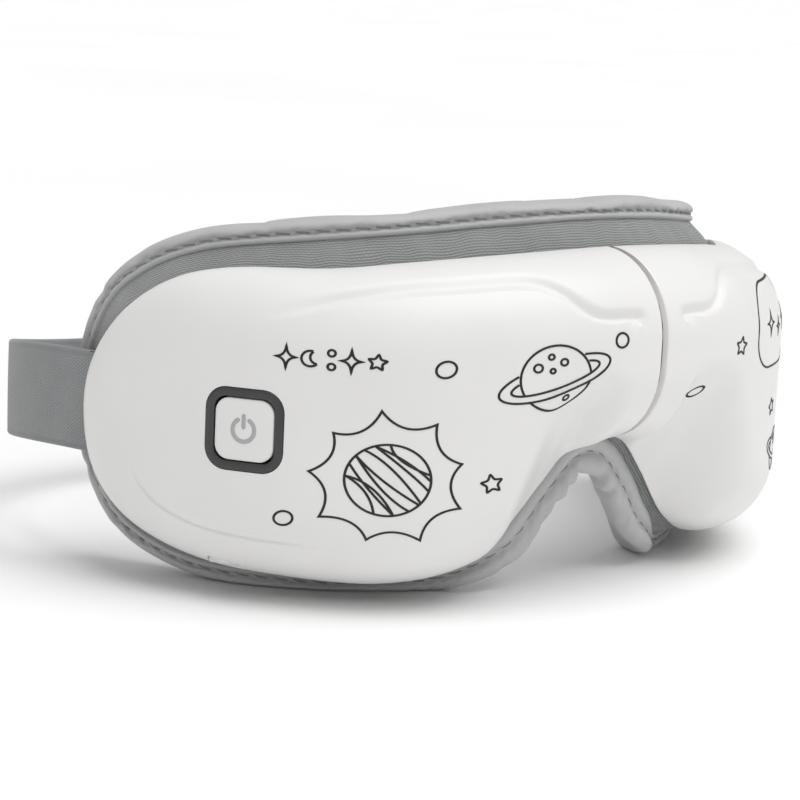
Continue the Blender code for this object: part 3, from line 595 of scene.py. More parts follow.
SHELL = moulded("shell_white", (0.80, 0.795, 0.78), (0.825, 0.82, 0.805), (0.36, 0.42), 0.006, 40.0,
                0.3, Specular_IOR_Level=0.45)
BEZEL_LOOK = moulded("bezel_dark_grey", (0.033, 0.033, 0.034), (0.045, 0.045, 0.046), (0.36, 0.46),
                     0.012)
INK = moulded("ink_black", (0.004, 0.004, 0.004), (0.008, 0.008, 0.008), (0.45, 0.6), 0.01)
SYMBOL = moulded("symbol_grey", (0.40, 0.405, 0.41), (0.44, 0.445, 0.45), (0.45, 0.55), 0.01)
LEATHER, KNIT, WEBBING, THREAD = leather_look(), knit_look(), webbing_look(), thread_look()
COVER = moulded("hinge_cover_beige", (0.64, 0.575, 0.52), (0.70, 0.635, 0.585), (0.45, 0.55), 0.01)
BLACK = moulded("black_plastic", (0.016, 0.016, 0.017), (0.026, 0.026, 0.027), (0.42, 0.55), 0.02)
FRAME_GREY = moulded("frame_grey", (0.28, 0.28, 0.29), (0.34, 0.34, 0.35), (0.5, 0.62), 0.03)
SILICONE = moulded("silicone", (0.58, 0.58, 0.57), (0.66, 0.66, 0.65), (0.4, 0.5), 0.01)
FILM = moulded("heating_film", (0.45, 0.22, 0.06), (0.62, 0.36, 0.13), (0.25, 0.4), 0.01, 400.0)
FOIL = moulded("battery_foil", (0.45, 0.46, 0.48), (0.62, 0.63, 0.65), (0.25, 0.4), 0.05, 180.0, 1.2,
               Metallic=0.6)
STEEL = brushed("steel", (0.45, 0.45, 0.46), (0.66, 0.66, 0.67), (0.25, 0.4))
FOAM, BOARD = foam_look(), board_look()

NODE_LOOKS = {"hinge_cover": COVER, "back_frame": FRAME_GREY, "screw": STEEL, "hinge_pin": STEEL,
              "hinge_leaf": STEEL, "airbag": SILICONE, "air_hose": SILICONE, "heating_pad": FILM,
              "battery": FOIL, "circuit_board": BOARD, "motor": STEEL, "charging_port": STEEL,
              "foam": FOAM, "gusset": KNIT, "cushion": LEATHER, "strap_anchor": BLACK,
              "strap": WEBBING, "front_shell": SHELL, "power_button": SHELL, "bezel": BEZEL_LOOK}


def dress_frame():
    """Gives every solid of the frame its own finish."""
    for name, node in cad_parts.items():
        look = next((look for word, look in NODE_LOOKS.items() if word in name), BLACK)
        for slot in node.material_slots:
            slot.material = look


# ---- shells
def front_shell(side, word):
    """The domed shell, its moulded creases, its rounded rim and its plain inner face."""
    outer, share = half_outline(SHELL_LINE, SEAM, SHELL_STEPS, packed=1.6)
    inner, _ = half_outline(SHELL_LINE, SEAM, SHELL_STEPS, WALL, packed=1.6)
    middle = spine(outer, share, SEAM)
    turn = np.linspace(0, math.pi / 2, 84)[1:]
    shares = np.r_[0.60 * (1 - np.cos(turn)), 0.66, 0.74, 0.82, 0.9, 0.97]
    rings = []
    for part in shares[::-1]:
        flat = outer + (middle - outer) * part
        rings.append(np.column_stack([flat, face_depth(flat)]))
    rim = normals(outer)
    for inset, depth in ((0.0, 0.3), (0.06, 0.1), (0.25, 0.0)):
        flat = outer + inset * rim
        flat[[0, -1], 0] = SEAM
        rings.append(np.column_stack([flat, np.full(len(flat), depth)]))
    for part in (0.0, 0.01, 0.04, 0.1, 0.2, 0.34, 0.5, 0.7, 0.9, 0.97):
        flat = inner + (middle - inner) * part
        rings.append(np.column_stack([flat, domed(flat, INNER_EDGE, WALL)]))
    columns = len(outer)
    points = wrapped(np.vstack(rings) * (side, 1, 1))
    faces = strip_faces(len(rings), columns)
    for base in (0, (len(rings) - 1) * columns):
        for k in range(columns // 2):
            rung = [base + k, base + k + 1, base + columns - 2 - k, base + columns - 1 - k]
            faces.append(tuple(dict.fromkeys(rung)))
    top = [r * columns for r in range(len(rings))]
    faces.append(tuple(top + [i + columns - 1 for i in top[::-1]]))
    shell = piece(word + "_shell_skin", points, faces, SHELL)
    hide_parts(word + "_front_shell")
    return shell


# ---- button
def button_plane():
    """Turns (along, up, out) in mm near the button into points, following the shell's curve."""
    spots = np.linspace(BUTTON_S - BUTTON_SPAN, BUTTON_S + BUTTON_SPAN, BUTTON_SAMPLES)
    line = np.column_stack([spots, np.full(len(spots), BUTTON_Z)])
    ground = wrapped(np.column_stack([-spots, line[:, 1], domed(line, SHELL_EDGE)]))
    middle = len(spots) // 2
    along = ground[middle + 1] - ground[middle - 1]
    along /= np.linalg.norm(along)
    out = np.cross(along, (0, 0, 1.0))
    out *= np.sign(-out[1])
    reach = (ground - ground[middle]) @ along / MM
    drop = (ground - ground[middle]) @ out / MM

    def at(x, y, lift, flat=0.0):
        x, y = np.asarray(x, float), np.asarray(y, float)
        height = np.interp(x, reach, drop) * (1 - flat) + lift
        return (ground[middle] + MM * (x[:, None] * along + y[:, None] * np.array([0, 0, 1.0])
                                       + np.asarray(height)[:, None] * out))
    return at


def button_loops(at, width, corner, rows):
    """Rounded squares, one for each (inset, lift)."""
    loops = []
    for inset, lift in rows:
        loop = rounded_loop(width - 2 * inset, width - 2 * inset, max(corner - inset, 0.3))
        loops.append(at(loop[:, 0], loop[:, 1], lift))
    return loops


def power_button(shell):
    """The opening in the shell, its dark ring, and the cap with its symbol."""
    at = button_plane()
    wide = BEZEL + OPENING_GAP
    opening = rounded_loop(wide, wide, BEZEL_CORNER + OPENING_GAP / 2)
    cut(shell, loops_piece("button_opening", [at(opening[:, 0], opening[:, 1], height, 1.0)
                                              for height in (-5.0, 3.0)], SHELL))

    ring = button_loops(at, BEZEL, BEZEL_CORNER, [
        (0, -3.0), (0, -0.2), (0.06, 0.0), (0.25, 0.14), (0.6, 0.2), (1.5, 0.2), (1.8, 0.12),
        (BEZEL_BAND, -0.08), (BEZEL_BAND, -3.0)])
    bezel = piece("bezel_ring", np.vstack(ring), strip_faces(len(ring), len(ring[0]), True, True),
                  BEZEL_LOOK)
    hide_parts("button_bezel")
    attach(bezel, "right_half")

    cap = loops_piece("button_cap", button_loops(at, CAP, CAP_CORNER, [
        (0, -2.4), (0, -0.3), (0.05, -0.12), (0.2, 0.02), (0.5, 0.1), (1.1, CAP_TOP), (2.5, CAP_TOP),
        (4.0, CAP_TOP), (5.5, CAP_TOP), (6.4, CAP_TOP)]), SHELL)
    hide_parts("power_button")
    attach(cap, "power_button")

    turn = np.radians(np.linspace(90 + 33, 90 + 327, 48))
    strokes = [(SYMBOL_RADIUS * np.column_stack([np.cos(turn), np.sin(turn)]), False),
               (np.column_stack([np.zeros(8), np.linspace(0.75, 3.15, 8)]), False)]

    def on_cap(spots, lift):
        return at(spots[:, 0], spots[:, 1], CAP_TOP + lift)
    symbol = inked("power_symbol", strokes, SYMBOL_WIDTH, on_cap, SYMBOL, round_ends=True)
    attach(symbol, "power_button")


# ---- printed line art
def inked(name, strokes, width, place, look, round_ends=False):
    """Printed lines: low ribbons along strokes, each a (points, closed) pair."""
    points, faces, base = [], [], 0
    for line, closed in strokes:
        line = np.asarray(line, float)
        if round_ends:
            way0, way1 = line[0] - line[1], line[-1] - line[-2]
            way0, way1 = way0 / np.linalg.norm(way0), way1 / np.linalg.norm(way1)
            turns = np.radians([0, 22, 45, 67, 85])
            reach = width / 2
            line = np.vstack([[line[0] + way0 * reach * math.cos(a) for a in turns], line,
                              [line[-1] + way1 * reach * math.cos(a) for a in turns[::-1]]])
            taper = np.r_[np.sin(turns), np.ones(len(line) - 10), np.sin(turns[::-1])]
        else:
            taper = np.ones(len(line))
        unit = normals(line, closed)
        step = np.roll(line, -1, 0) - line
        if not closed:
            step[-1] = step[-2]
        step /= np.maximum(np.linalg.norm(step, axis=1), 1e-9)[:, None]
        face = np.abs(step[:, 0] * unit[:, 1] - step[:, 1] * unit[:, 0])
        miter = np.clip(1 / np.maximum(face, 0.35), 1, 2.6)
        half = (width / 2 * taper * miter)[:, None] * unit
        for shift, lift in ((1.0, LINE_SINK), (0.85, LINE_LIFT), (-0.85, LINE_LIFT), (-1.0, LINE_SINK)):
            points.append(place(line + shift * half, lift))
        n = len(line)
        for r in range(3):
            for k in range(n if closed else n - 1):
                m = (k + 1) % n
                a, b = base + r * n, base + (r + 1) * n
                faces.append((a + k, a + m, b + m, b + k))
        if not closed:
            faces += [tuple(base + r * n + end for r in range(4)) for end in (0, n - 1)]
        base += 4 * n
    return piece(name, np.vstack(points), faces, look, None)


def turned(points, degrees, centre=(0.0, 0.0)):
    a = math.radians(degrees)
    spin = np.array([[math.cos(a), math.sin(a)], [-math.sin(a), math.cos(a)]])
    return np.asarray(points, float) @ spin + centre


def oval(centre, width, height, tilt=0.0, steps=40):
    a = np.linspace(0, 2 * math.pi, steps, endpoint=False)
    return turned(np.column_stack([width / 2 * np.cos(a), height / 2 * np.sin(a)]), tilt, centre)


def bend(start, control, end, steps=14):
    t = np.linspace(0, 1, steps)[:, None]
    return (1 - t) ** 2 * np.array(start) + 2 * t * (1 - t) * np.array(control) + t ** 2 * np.array(end)


def star(centre, size, tilt):
    corners = []
    for i in range(10):
        a = math.radians(90 + 36 * i)
        r = size / 2 if i % 2 == 0 else size * 0.24
        corners.append((r * math.cos(a), r * math.sin(a)))
    corners = np.array(corners + corners[:1])
    line = at_shares(corners, np.linspace(0, 1, 60, endpoint=False))
    for _ in range(2):
        line = (np.roll(line, 1, 0) + 2 * line + np.roll(line, -1, 0)) / 4
    return turned(line, tilt, centre)


def sparkle(centre, size):
    """A four-pointed star with hollow sides."""
    tips = [(0, size / 2), (size / 2.6, 0), (0, -size / 2), (-size / 2.6, 0)]
    line = [bend(a, 0.05 * np.add(a, b), b)[:-1] for a, b in zip(tips, tips[1:] + tips[:1])]
    return np.vstack(line) + centre


def kept_runs(line, keep):
    """The stretches of a closed line where keep is true."""
    if keep.all():
        return [(line, True)]
    start = int(np.argmin(keep))
    line, keep = np.roll(line, -start, 0), np.roll(keep, -start)
    runs, current = [], []
    for p, k in zip(line, keep):
        if k:
            current.append(p)
            continue
        if len(current) > 2:
            runs.append((np.array(current), False))
        current = []
    if len(current) > 2:
        runs.append((np.array(current), False))
    return runs


def ringed_planet(centre, size, tilt):
    """A round planet with a tilted ring in front, a few craters and open lines where parts hide."""
    globe = oval((0, 0), size, size, 0, 160)
    ring, hole = (size * 1.64, size * 0.52), (size * 1.3, size * 0.3)

    def inside(points, width, height):
        return (points[:, 0] / (width / 2)) ** 2 + (points[:, 1] / (height / 2)) ** 2 < 1

    strokes = []
    for wide, tall in (ring, hole):
        line = oval((0, 0), wide, tall, 0, 200)
        strokes += kept_runs(line, ~(inside(line, size * 1.02, size * 1.02) & (line[:, 1] > 0)))
    covered = inside(globe, *ring) & (globe[:, 1] < 0) & ~inside(globe, *hole)
    strokes += kept_runs(globe, ~covered)
    for x, y, d in ((-0.20, 0.24, 0.12), (0.02, 0.34, 0.08), (0.17, 0.20, 0.10), (-0.02, 0.13, 0.07),
                    (0.08, -0.36, 0.09)):
        strokes.append((oval((x * size, y * size), d * size, d * size, 0, 16), True))
    return [(turned(line, tilt, centre), closed) for line, closed in strokes]


def spiky_sun(centre, reach, tips=9):
    """A sun whose edge hangs in hollow curves between its tips, round a striped disc."""
    angles = np.radians(96 + 360 / tips * np.arange(tips + 1))
    sizes = reach * (1 + 0.045 * np.cos(2.3 * (np.arange(tips + 1) % tips)))
    tip = np.column_stack([sizes * np.cos(angles), sizes * np.sin(angles)])
    middles = (angles[:-1] + angles[1:]) / 2
    hollow = 0.66 * reach * np.column_stack([np.cos(middles), np.sin(middles)])
    edge = [bend(a, h, b, 20)[:-1] for a, h, b in zip(tip, hollow, tip[1:])]
    radius = reach * 0.54
    strokes = [(np.vstack(edge), True), (oval((0, 0), 2 * radius, 2 * radius, 0, 90), True)]
    across = np.linspace(-0.78, 0.78, 6)
    for i, off in enumerate(across):
        half = math.sqrt(1 - off * off)
        lean = 0.30 * math.cos(1.9 * i)
        end = (off, half)
        stripes = [((off, -half), (off + lean, 0.35 * math.sin(2.7 * i)))]
        if i % 2 == 0 and i < len(across) - 1:
            start = across[i + 1] * 0.9
            stripes.append(((start, -math.sqrt(1 - start ** 2)), (off + lean + 0.22, 0.1)))
        for start, control in stripes:
            line = bend(start, control, end, 24) * radius * 0.985
            strokes.append((turned(line, 34 + 3 * i), False))
    return [(line + centre, closed) for line, closed in strokes]


def crescent(centre, size):
    outer = oval((0, 0), size, size, 0, 60)
    bite = oval((0.42 * size, 0.1 * size), 0.86 * size, 0.86 * size, 0, 60)
    far = np.hypot(*(outer - (0.42 * size, 0.1 * size)).T) > 0.43 * size
    near = np.hypot(*bite.T) < 0.5 * size
    return [(line + centre, closed) for line, closed in kept_runs(outer, far) + kept_runs(bite, near)]


def art():
    """Line art for each half. x is the signed place along the wrap, so towards the nose on the right."""
    right = ringed_planet((-25.7, 6.0), 15.0, 19)
    right += spiky_sun((-57.6, -16.8), 14.9)
    right += [(oval((-47.7, 8.3), 4.0, 3.5, 35), True), (oval((-11.3, 14.0), 2.9, 3.3, 0), True),
              (oval((-77.0, -27.0), 3.8, 3.2, 25), True), (star((-37.8, -17.5), 4.6, 12), True)]
    row_z = 9.4
    right += [(sparkle((-77.6, row_z), 5.2), True)] + crescent((-72.9, row_z), 3.4)
    right += [(oval((-68.9, row_z + rise), 1.4, 1.4), True) for rise in (1.5, -1.5)]
    right += [(sparkle((-65.2, row_z), 5.2), True), (star((-60.4, row_z), 3.8, -6), True)]
    left = [(star((26.5, 9.0), 4.8, -8), True), (oval((17.2, -1.6), 3.4, 2.6, 30), True),
            (star((48.0, -9.3), 4.6, 14), True)]
    border = rounded_loop(29.0, 21.0, 8.0, 10, 10) + (49.5, 12.0)
    left.append((border, True))
    left += [(sparkle(spot, size), True)
             for spot, size in (((43.0, 12.5), 6.0), ((49.5, 11.0), 4.2), ((56.0, 12.5), 6.0))]
    left += ringed_planet((55.5, -21.5), 11.0, -16)
    left += [(oval((76.0, -4.0), 3.8, 3.4, 15), True), (star((84.0, 8.0), 4.6, 5), True),
             (oval((92.0, -16.0), 3.0, 3.3, 0), True)]
    return right, left


def line_art():
    right, left = art()
    for strokes, side, word in ((right, RIGHT, "right"), (left, LEFT, "left")):
        def place(points, lift, side=side):
            return on_face(side, points * (side, 1), lift)
        print_ = inked(word + "_line_art", strokes, LINE_WIDTH, place, INK)
        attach(print_, word + "_half")


# ---- knit and leather
def full_loop(points, inset=0.0):
    """The whole outline as signed (s, z), round the wearer's left and back along the right."""
    half, share = half_outline(points, 0.0, STEPS, inset)
    return np.vstack([half, half[-2:0:-1] * (-1, 1)]), np.r_[share, share[-2:0:-1]]


class Band:
    """The slope from the shells' rim to the cushion's flange, which knit and leather both follow."""

    def __init__(self):
        self.rim, self.share = full_loop(SHELL_LINE, KNIT_INSET)
        self.edge, _ = full_loop(CUSHION_LINE, FLANGE)
        from_strap = np.abs(self.rim[:, 1] - STRAP_Z)
        stepped = smoothstep(np.abs(self.rim[:, 0]), *STEP_SPAN)
        stepped *= 1 - smoothstep(from_strap, *STEP_RISE)
        self.front = KNIT_FRONT + (KNIT_STEP - KNIT_FRONT) * stepped
        run = self.edge - self.rim
        wide = np.linalg.norm(run, axis=1)
        fall = KNIT_END - self.front
        slant = np.hypot(wide, fall)
        self.out = np.column_stack([run / wide[:, None] * (-fall / slant)[:, None], wide / slant])
        self.count = len(self.rim)
        half = np.arange(self.count)
        lower = (half > 1.5 * STEPS) & (half < self.count - 1.5 * STEPS)
        aside = np.abs(self.edge[:, 0])
        self.notch = np.where(lower, 1 - smoothstep(aside, *NOSE_PROFILE_SPAN), 0.0)
        self.tight = np.where(lower, 1 - smoothstep(aside, *GATHER_SPAN), 0.0)

    def at(self, t, height):
        """Points at share t of the slope, height mm above it."""
        flat = self.rim + (self.edge - self.rim) * t
        depth = self.front + (KNIT_END - self.front) * t
        return np.column_stack([flat, depth]) + self.out * np.broadcast_to(height, self.count)[:, None]


def blend_soft(target):
    """Bakes a soft piece's place into its mesh."""
    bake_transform(target)


def knit_band(slope):
    """The ribbed knit between the shells and the cushion, one closed band."""
    run = np.r_[0, np.cumsum(np.linalg.norm(np.roll(slope.rim, -1, 0) - slope.rim, axis=1))]
    span = run[-1]
    ripple = sum(size * np.sin(2 * math.pi * np.round(span / length) * run[:-1] / span)
                 for size, length in ((0.18, 19), (0.1, 7.3)))
    ts = np.linspace(0, 1, 11)
    rows = [slope.at(t, (0.25 + ripple) * math.sin(math.pi * t)) for t in ts]
    rows += [slope.at(t, -KNIT_THICK) for t in ts[::-2]]
    faces = strip_faces(len(rows), slope.count, True, True)
    knit = piece("knit_band", wrapped(np.vstack(rows)), faces, KNIT, 60)
    across = np.r_[ts, ts[::-2]] * KNIT_WIDE
    values = np.array([(u, v) for v in across for u in run[:-1]])
    set_weave(knit, values, span)
    keep_rest(knit)
    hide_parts("right_knit_gusset", "left_knit_gusset",
                "upper_bridge_gusset", "lower_bridge_gusset")
    blend_soft(knit)
    return knit, span


# The leather's rows as (inset from the cushion's outline, depth), beside the nose notch and in it:
# a sewn lip, the stitched groove, the puffed border and the turn to the back
LEATHER_PROFILE = [
    ((6.5, -8.0), (9.9, -4.6)), ((4.75, -7.45), (9.6, -3.3)), ((4.6, -6.75), (9.35, -2.4)),
    ((4.05, -6.3), (8.7, -1.8)), ((3.4, -6.4), (7.2, -1.5)), ((3.0, -6.95), (5.7, -1.9)),
    ((2.75, -7.35), (5.0, -2.8)), ((2.45, -7.0), (4.3, -1.9)), ((1.8, -6.9), (2.6, -1.5)),
    ((1.05, -7.35), (1.1, -2.2)), ((0.45, -8.4), (0.3, -3.5)), ((0.15, -10.0), (0.1, -5.0)),
    ((0.05, -12.0), (1.0, -7.2)), ((0.3, -14.2), (3.4, -9.9)), ((1.1, -16.2), (6.4, -12.8)),
    ((2.8, -17.7), (9.2, -15.8)), ((5.6, -18.45), (11.6, -18.0)),
]


def cushion_rows(slope):
    """Rows of the leather from under the knit, over the sewn lip and the border, to the eye recesses."""
    def border(inset, depth):
        flat, _ = full_loop(CUSHION_LINE, inset)
        return np.column_stack([flat, np.full(slope.count, float(depth))])

    w = slope.notch[:, None]
    rows = [(1 - w) * border(*usual) + w * border(*nose) for usual, nose in LEATHER_PROFILE]
    ground = ((1 - w) * border(BACK_INSET, 0) + w * border(NOSE_BACK_INSET, 0))[:, :2]
    half = ground[:3 * STEPS + 1]
    share = slope.share[:3 * STEPS + 1]
    middle = spine(half, share, 0.0)
    middle = np.vstack([middle, middle[-2:0:-1] * (-1, 1)])
    for part, sink in ((0.10, 0.0), (0.25, 0.08), (0.42, 0.4), (0.6, 0.8), (0.8, 1.0), (0.97, 1.0)):
        bridge = smoothstep(np.abs(middle[:, 0]), 6, 26)
        rows.append(np.column_stack([ground + (middle - ground) * part,
                                     CUSHION_BACK + EYE_RECESS * sink * bridge]))
    inner = ground + (middle - ground) * 0.5
    return [np.column_stack([inner, np.full(slope.count, -8.2)])] + rows


def gathers(slope, rows):
    """Pulls the leather into soft gathers, deep at the nose notch and faint elsewhere."""
    edge, _ = full_loop(CUSHION_LINE)
    run = lengths(edge)
    way = -normals(edge, True)
    warp = run + 1.5 * np.sin(run / 5.1) + 0.9 * np.sin(run / 2.3)
    folds = np.abs(np.sin(math.pi * warp / GATHER_PITCH)) ** 0.8 - 0.6
    slow = np.sin(run / 11.0) * np.sin(run / 17.0)
    for i, row in enumerate(rows):
        reach = smoothstep(i, GROOVE_ROW, GROOVE_ROW + 3) * (1 - smoothstep(i, 15, 19))
        size = (GATHER_DEEP * slope.tight + GATHER_FAINT * slope.notch) * folds
        size += (0.22 - 0.1 * slope.notch) * slow
        row[:, :2] += way * (size * reach)[:, None]
        row[:, 2] += GATHER_FORWARD * slope.tight * folds * reach
        row[:, 1] = np.maximum(row[:, 1], FLOOR_Z)
    return rows


def puff(target, pinned, cap, frames=16):
    """Lets the leather settle as inflated cloth, held at its seams, and keeps the result."""
    rest = np.array([v.co for v in target.data.vertices])
    group = target.vertex_groups.new(name="held")
    for index, weight in pinned:
        group.add([index], weight, "REPLACE")
    cloth = target.modifiers.new("settle", "CLOTH")
    made = cloth.settings
    made.vertex_group_mass = "held"
    made.use_pressure = True
    made.uniform_pressure_force = 3.0
    made.effector_weights.gravity = 0
    made.quality = 4
    made.mass = 0.2
    made.tension_stiffness = made.compression_stiffness = 12
    made.bending_stiffness = 0.25
    made.shrink_min = -0.03
    cloth.collision_settings.use_collision = False
    cloth.point_cache.frame_end = frames
    scene = bpy.context.scene
    for step in range(1, frames + 1):
        scene.frame_set(step)
    apply_modifiers(target)
    scene.frame_set(1)
    moved = np.array([v.co for v in target.data.vertices])
    shift = moved - rest
    size = np.linalg.norm(shift, axis=1)
    shift *= np.minimum(1, cap / np.maximum(size, 1e-9))[:, None]
    settled = rest + shift
    settled[:, 2] = np.maximum(settled[:, 2], BASE_Z + FLOOR_Z * MM)
    target.data.vertices.foreach_set("co", settled.ravel())
    target.vertex_groups.clear()


def face_cushion(slope):
    """The padded leather cushion, one piece over both halves and the nose."""
    rows = gathers(slope, cushion_rows(slope))
    n, columns = len(rows), slope.count
    points = wrapped(np.vstack(rows))
    faces = strip_faces(n, columns, True)
    half = 3 * STEPS
    for base in (0, (n - 1) * columns):
        for way in (1, -1):
            ring = [(way * k) % columns for k in range(half + 1)]
            for k in range(half // 2):
                rung = [base + ring[i] for i in (k, k + 1, half - 1 - k, half - k)]
                faces.append(tuple(dict.fromkeys(rung)))
    cushion = piece("leather_cushion", points, faces, LEATHER, None)
    first, last = PUFFED_ROWS
    pinned = [(r * columns + k, 0.5 if first - 1 <= r <= last + 2 else 1.0)
              for r in range(n) if not first <= r <= last for k in range(columns)]
    puff(cushion, pinned, PUFF_CAP * MM)
    smooth = cushion.modifiers.new("round", "SUBSURF")
    smooth.levels = smooth.render_levels = 1
    apply_modifiers(cushion)
    groove = wrapped(rows[GROOVE_ROW])
    holes = stitches(groove)
    tree = KDTree(len(holes))
    for i, p in enumerate(holes):
        tree.insert(p, i)
    tree.balance()
    near, reach, dent = 0.2, 1.6, 0.3
    for v in cushion.data.vertices:
        _, _, gap = tree.find(v.co)
        if gap < reach * MM:
            v.co -= v.normal * dent * MM * (1 - smoothstep(gap / MM, near, reach))
    cushion.data.shade_smooth()
    keep_rest(cushion)
    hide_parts("right_face_cushion", "left_face_cushion", "nose_bridge_cushion")
    blend_soft(cushion)
    return cushion


def stitches(groove):
    """Thread stitches along the sewn groove. Gives the needle holes back."""
    line = np.vstack([groove, groove[:1]])
    run = lengths(line)
    count = int(run[-1] / (STITCH_PITCH * MM))
    points, faces, holes, base = [], [], [], 0
    for i in range(count):
        shares = np.linspace(i / count, (i + STITCH_SHARE) / count, 8)
        path = np.column_stack([np.interp(shares * run[-1], run, line[:, a]) for a in range(3)])
        way = path[-1] - path[0]
        way /= np.linalg.norm(way)
        middle = path.mean(0)
        out = np.array([math.sin(math.atan2(middle[0], WRAP_RADIUS * MM)), -1.0, 0.0])
        out -= way * (out @ way)
        out /= np.linalg.norm(out)
        across = np.cross(way, out)
        arch = np.sin(np.linspace(0, math.pi, 8))
        lean = np.linspace(-0.22, 0.22, 8)
        spots = path + out * ((0.42 * arch - 0.12) * MM)[:, None] + across * (lean * MM)[:, None]
        holes += [path[0], path[-1]]
        for p, size in zip(spots, 0.24 * (0.55 + 0.45 * arch)):
            for a in np.linspace(0, 2 * math.pi, 6, endpoint=False):
                points.append(p + MM * size * (math.cos(a) * out + math.sin(a) * across))
        faces += strip_faces(8, 6, True, base=base)
        faces += [tuple(range(base, base + 6)), tuple(range(base + 42, base + 48))]
        base += 48
    thread = piece("cushion_stitches", points, faces, THREAD, None)
    keep_rest(thread)
    blend_soft(thread)
    return holes


# ---- strap
def strap_path(side):
    """A half of the strap as (x, y, outward x, outward y, z) rows, in mm from the rim's base line."""
    radius = WRAP_RADIUS + STRAP_DEPTH
    rows = []
    for a in np.arange(STRAP_FROM, STRAP_START, STRAP_STEP) / WRAP_RADIUS:
        rows.append((radius * math.sin(a), WRAP_RADIUS - radius * math.cos(a), math.sin(a),
                     -math.cos(a), STRAP_Z))
    angle = STRAP_START / WRAP_RADIUS
    x, y = radius * math.sin(angle), WRAP_RADIUS - radius * math.cos(angle)
    cx, cy = x - STRAP_BEND * math.sin(angle), y + STRAP_BEND * math.cos(angle)
    for share in np.linspace(0, 1, 64):
        a = angle - math.pi / 2 + (math.pi - angle) * share
        rows.append((cx + STRAP_BEND * math.cos(a), cy + STRAP_BEND * math.sin(a), math.cos(a),
                     math.sin(a), STRAP_Z - STRAP_DROP * float(smoothstep(share, 0, 1))))
    for x in np.arange(cx - 1.5, -0.01, -1.5):
        rows.append((x, cy + STRAP_BEND, 0.0, 1.0, STRAP_Z - STRAP_DROP))
    return np.array(rows) * (side, 1, side, 1, 1)


def webbing(name, path, start=0.0):
    """A flat woven band with soft round edges along a path."""
    section = rounded_loop(STRAP_WIDTH, STRAP_THICK, STRAP_THICK / 2 - 0.02, 5, 12)
    run = np.r_[0, np.cumsum(np.linalg.norm(np.diff(path[:, :2], axis=0), axis=1))] + start
    loops, values = [], []
    bulge = 0.1 * (1 - (section[:, 0] / (STRAP_WIDTH / 2)) ** 2) * np.sign(section[:, 1])
    off = section[:, 1] + bulge
    for (x, y, nx, ny, z), u in zip(path, run):
        loops.append(np.column_stack([(x + off * nx) * MM, BASE_Y + (y + off * ny) * MM,
                                      BASE_Z + (z + section[:, 0]) * MM]))
        values += [(u, v) for v in section[:, 0]]
    strap = loops_piece(name, loops, WEBBING, sharp=None)
    set_weave(strap, np.array(values))
    keep_rest(strap)
    return strap, run


def head_strap():
    """The strap: a right part from its anchor, a back part across to the left temple, and its end."""
    right, left = strap_path(RIGHT), strap_path(LEFT)
    behind = np.where((right[:, 1] > STRAP_BACK) & (right[:, 0] >= -SLIDER_X))[0][0]
    first, run = webbing("strap_right_webbing", right[:behind + 1])
    pivot = wrapped([(-STRAP_START, STRAP_Z, STRAP_DEPTH)])[0]
    way = np.array([right[9][0] - right[4][0], right[9][1] - right[4][1], 0.0])
    way /= np.linalg.norm(way)
    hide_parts("strap_right")
    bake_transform(first)
    corner = len(np.arange(STRAP_FROM, STRAP_START, STRAP_STEP))
    middle = (0.0, right[-1, 1], 0.0, 1.0, right[-1, 4])
    back = np.vstack([right[behind:], [middle], left[corner:][::-1]])
    second, _ = webbing("strap_back_webbing", back, run[-1])
    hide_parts("strap_left")
    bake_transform(second)
    stub, _ = webbing("strap_left_end", left[:corner + 1])
    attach(stub, "left_half")
    for part, line in ((first, right[:behind + 1]), (second, back), (stub, left[:corner + 1])):
        size = np.linalg.norm(np.diff(line[:, :2], axis=0), axis=1).sum()


def strap_slider():
    """A rounded plastic loop round the strap."""
    low, high = (np.array(c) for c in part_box("strap_slider"))
    centre = (low + high) / 2
    length, deep, tall = (high - low) / MM
    loops = []
    outside = [(0.55, -0.5), (0.15, -0.46), (0.0, -0.38), (0.0, 0.38), (0.15, 0.46), (0.55, 0.5)]
    inside = [(1.25, 0.5), (1.7, 0.44), (1.8, 0.3), (1.8, -0.3), (1.7, -0.44), (1.25, -0.5)]
    for inset, share in outside + inside:
        loop = rounded_loop(tall - 2 * inset, deep - 2 * inset, max(1.6 - inset, 0.35), 5, 5)
        across = np.full(len(loop), share * length)
        loops.append(np.column_stack([across, loop[:, 1], loop[:, 0]]) * MM + centre)
    slider = piece("slider_loop", np.vstack(loops), strip_faces(len(loops), len(loops[0]), True, True),
                   BEZEL_LOOK)
    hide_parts("strap_slider")
    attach(slider, "strap_slider")


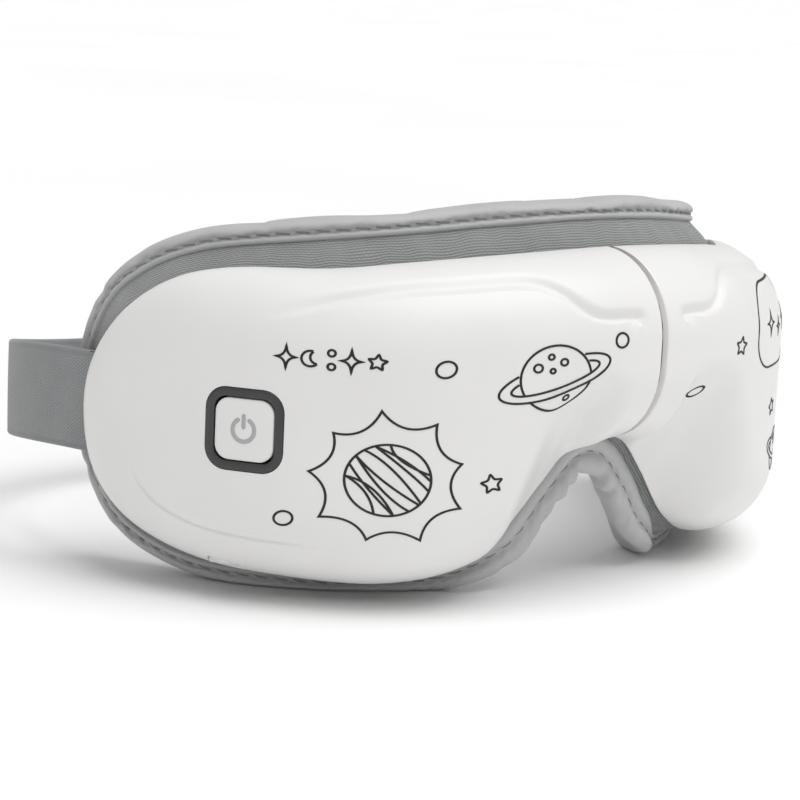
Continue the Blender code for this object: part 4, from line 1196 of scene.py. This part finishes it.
# ---- studio
def studio():
    floor = bpy.data.objects.new("floor", bpy.data.meshes.new("floor"))
    corners = ((-1, -1), (1, -1), (1, 1), (-1, 1))
    floor.data.from_pydata([(x * FLOOR_REACH, y * FLOOR_REACH, CAD_BOX[0][2] - FLOOR_GAP)
                            for x, y in corners], [], [(0, 1, 2, 3)])
    g = Graph("floor_pale")
    where = g.add("TexCoord").outputs["Object"]
    tone = g.noise(where, 2.0, 2.0)
    pale = g.ramp(tone, [(0.3, (0.93, 0.93, 0.93)), (0.7, (0.95, 0.95, 0.95))])
    floor.data.materials.append(g.done(pale, g.spread(tone, 0.75, 0.85), Specular_IOR_Level=0.1))
    bpy.context.scene.collection.objects.link(floor)

    world = bpy.data.worlds.new("studio")
    bpy.context.scene.world = world
    world.use_nodes = True
    tree = world.node_tree
    backdrop = tree.nodes["Background"].inputs
    backdrop["Color"].default_value = (1.0, 1.0, 1.0, 1.0)
    level = tree.nodes.new("ShaderNodeMath")
    level.operation = "MULTIPLY_ADD"
    level.inputs[1].default_value, level.inputs[2].default_value = 1 - SKY, SKY
    tree.links.new(tree.nodes.new("ShaderNodeLightPath").outputs["Is Camera Ray"], level.inputs[0])
    tree.links.new(level.outputs[0], backdrop["Strength"])

    lamp = bpy.data.objects.new("key", bpy.data.lights.new("key", "SUN"))
    lamp.data.energy = SUN_STRENGTH
    lamp.data.angle = math.radians(SUN_SIZE)
    lamp.rotation_euler = Vector(SUN_FROM).to_track_quat("Z", "Y").to_euler()
    bpy.context.scene.collection.objects.link(lamp)


def camera():
    """The camera: round the mask by AZIMUTH, above it by ELEVATION, and slightly rolled."""
    azimuth, elevation, roll = (math.radians(v) for v in (AZIMUTH, ELEVATION, ROLL))
    target = Vector((LOOK_X, BASE_Y, BASE_Z + LOOK_UP))
    back = Vector((math.sin(azimuth) * math.cos(elevation), -math.cos(azimuth) * math.cos(elevation),
                   math.sin(elevation)))
    right = Vector((math.cos(azimuth), math.sin(azimuth), 0.0))
    up = back.cross(right)
    r = math.cos(roll) * right + math.sin(roll) * up
    u = -math.sin(roll) * right + math.cos(roll) * up
    made = bpy.data.objects.new("camera", bpy.data.cameras.new("camera"))
    made.data.lens, made.data.sensor_width = LENS, 36.0
    made.data.clip_start = 0.01
    turn = Matrix((r, u, back)).transposed().to_4x4()
    made.matrix_world = Matrix.Translation(target + back * DISTANCE) @ turn
    bpy.context.scene.collection.objects.link(made)
    bpy.context.scene.camera = made


def port_cut(shell):
    """The charging socket's opening in the right shell's lower wall."""
    low, high = (np.array(c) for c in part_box("charging_port"))
    centre = (low + high) / 2
    turn = -PORT_S / WRAP_RADIUS
    along = np.array([math.cos(turn), math.sin(turn), 0.0])
    out = np.array([math.sin(turn), -math.cos(turn), 0.0])
    loop = rounded_loop(9.3, 3.1, 1.5)
    levels = (low[2] - 6 * MM, high[2] + 1 * MM)
    loops = [centre * (1, 1, 0) + MM * (loop[:, :1] * along + loop[:, 1:] * out) + np.array([0, 0, z])
             for z in levels]
    cut(shell, loops_piece("port_opening", loops, SHELL))


def main():
    bpy.context.scene.view_settings.view_transform = "Standard"
    camera()
    studio()
    dress_frame()
    right, left = front_shell(RIGHT, "right"), front_shell(LEFT, "left")
    power_button(right)
    port_cut(right)
    for shell, word in ((right, "right"), (left, "left")):
        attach(shell, word + "_half")
    line_art()
    slope = Band()
    knit, span = knit_band(slope)
    face_cushion(slope)
    head_strap()
    strap_slider()


main()
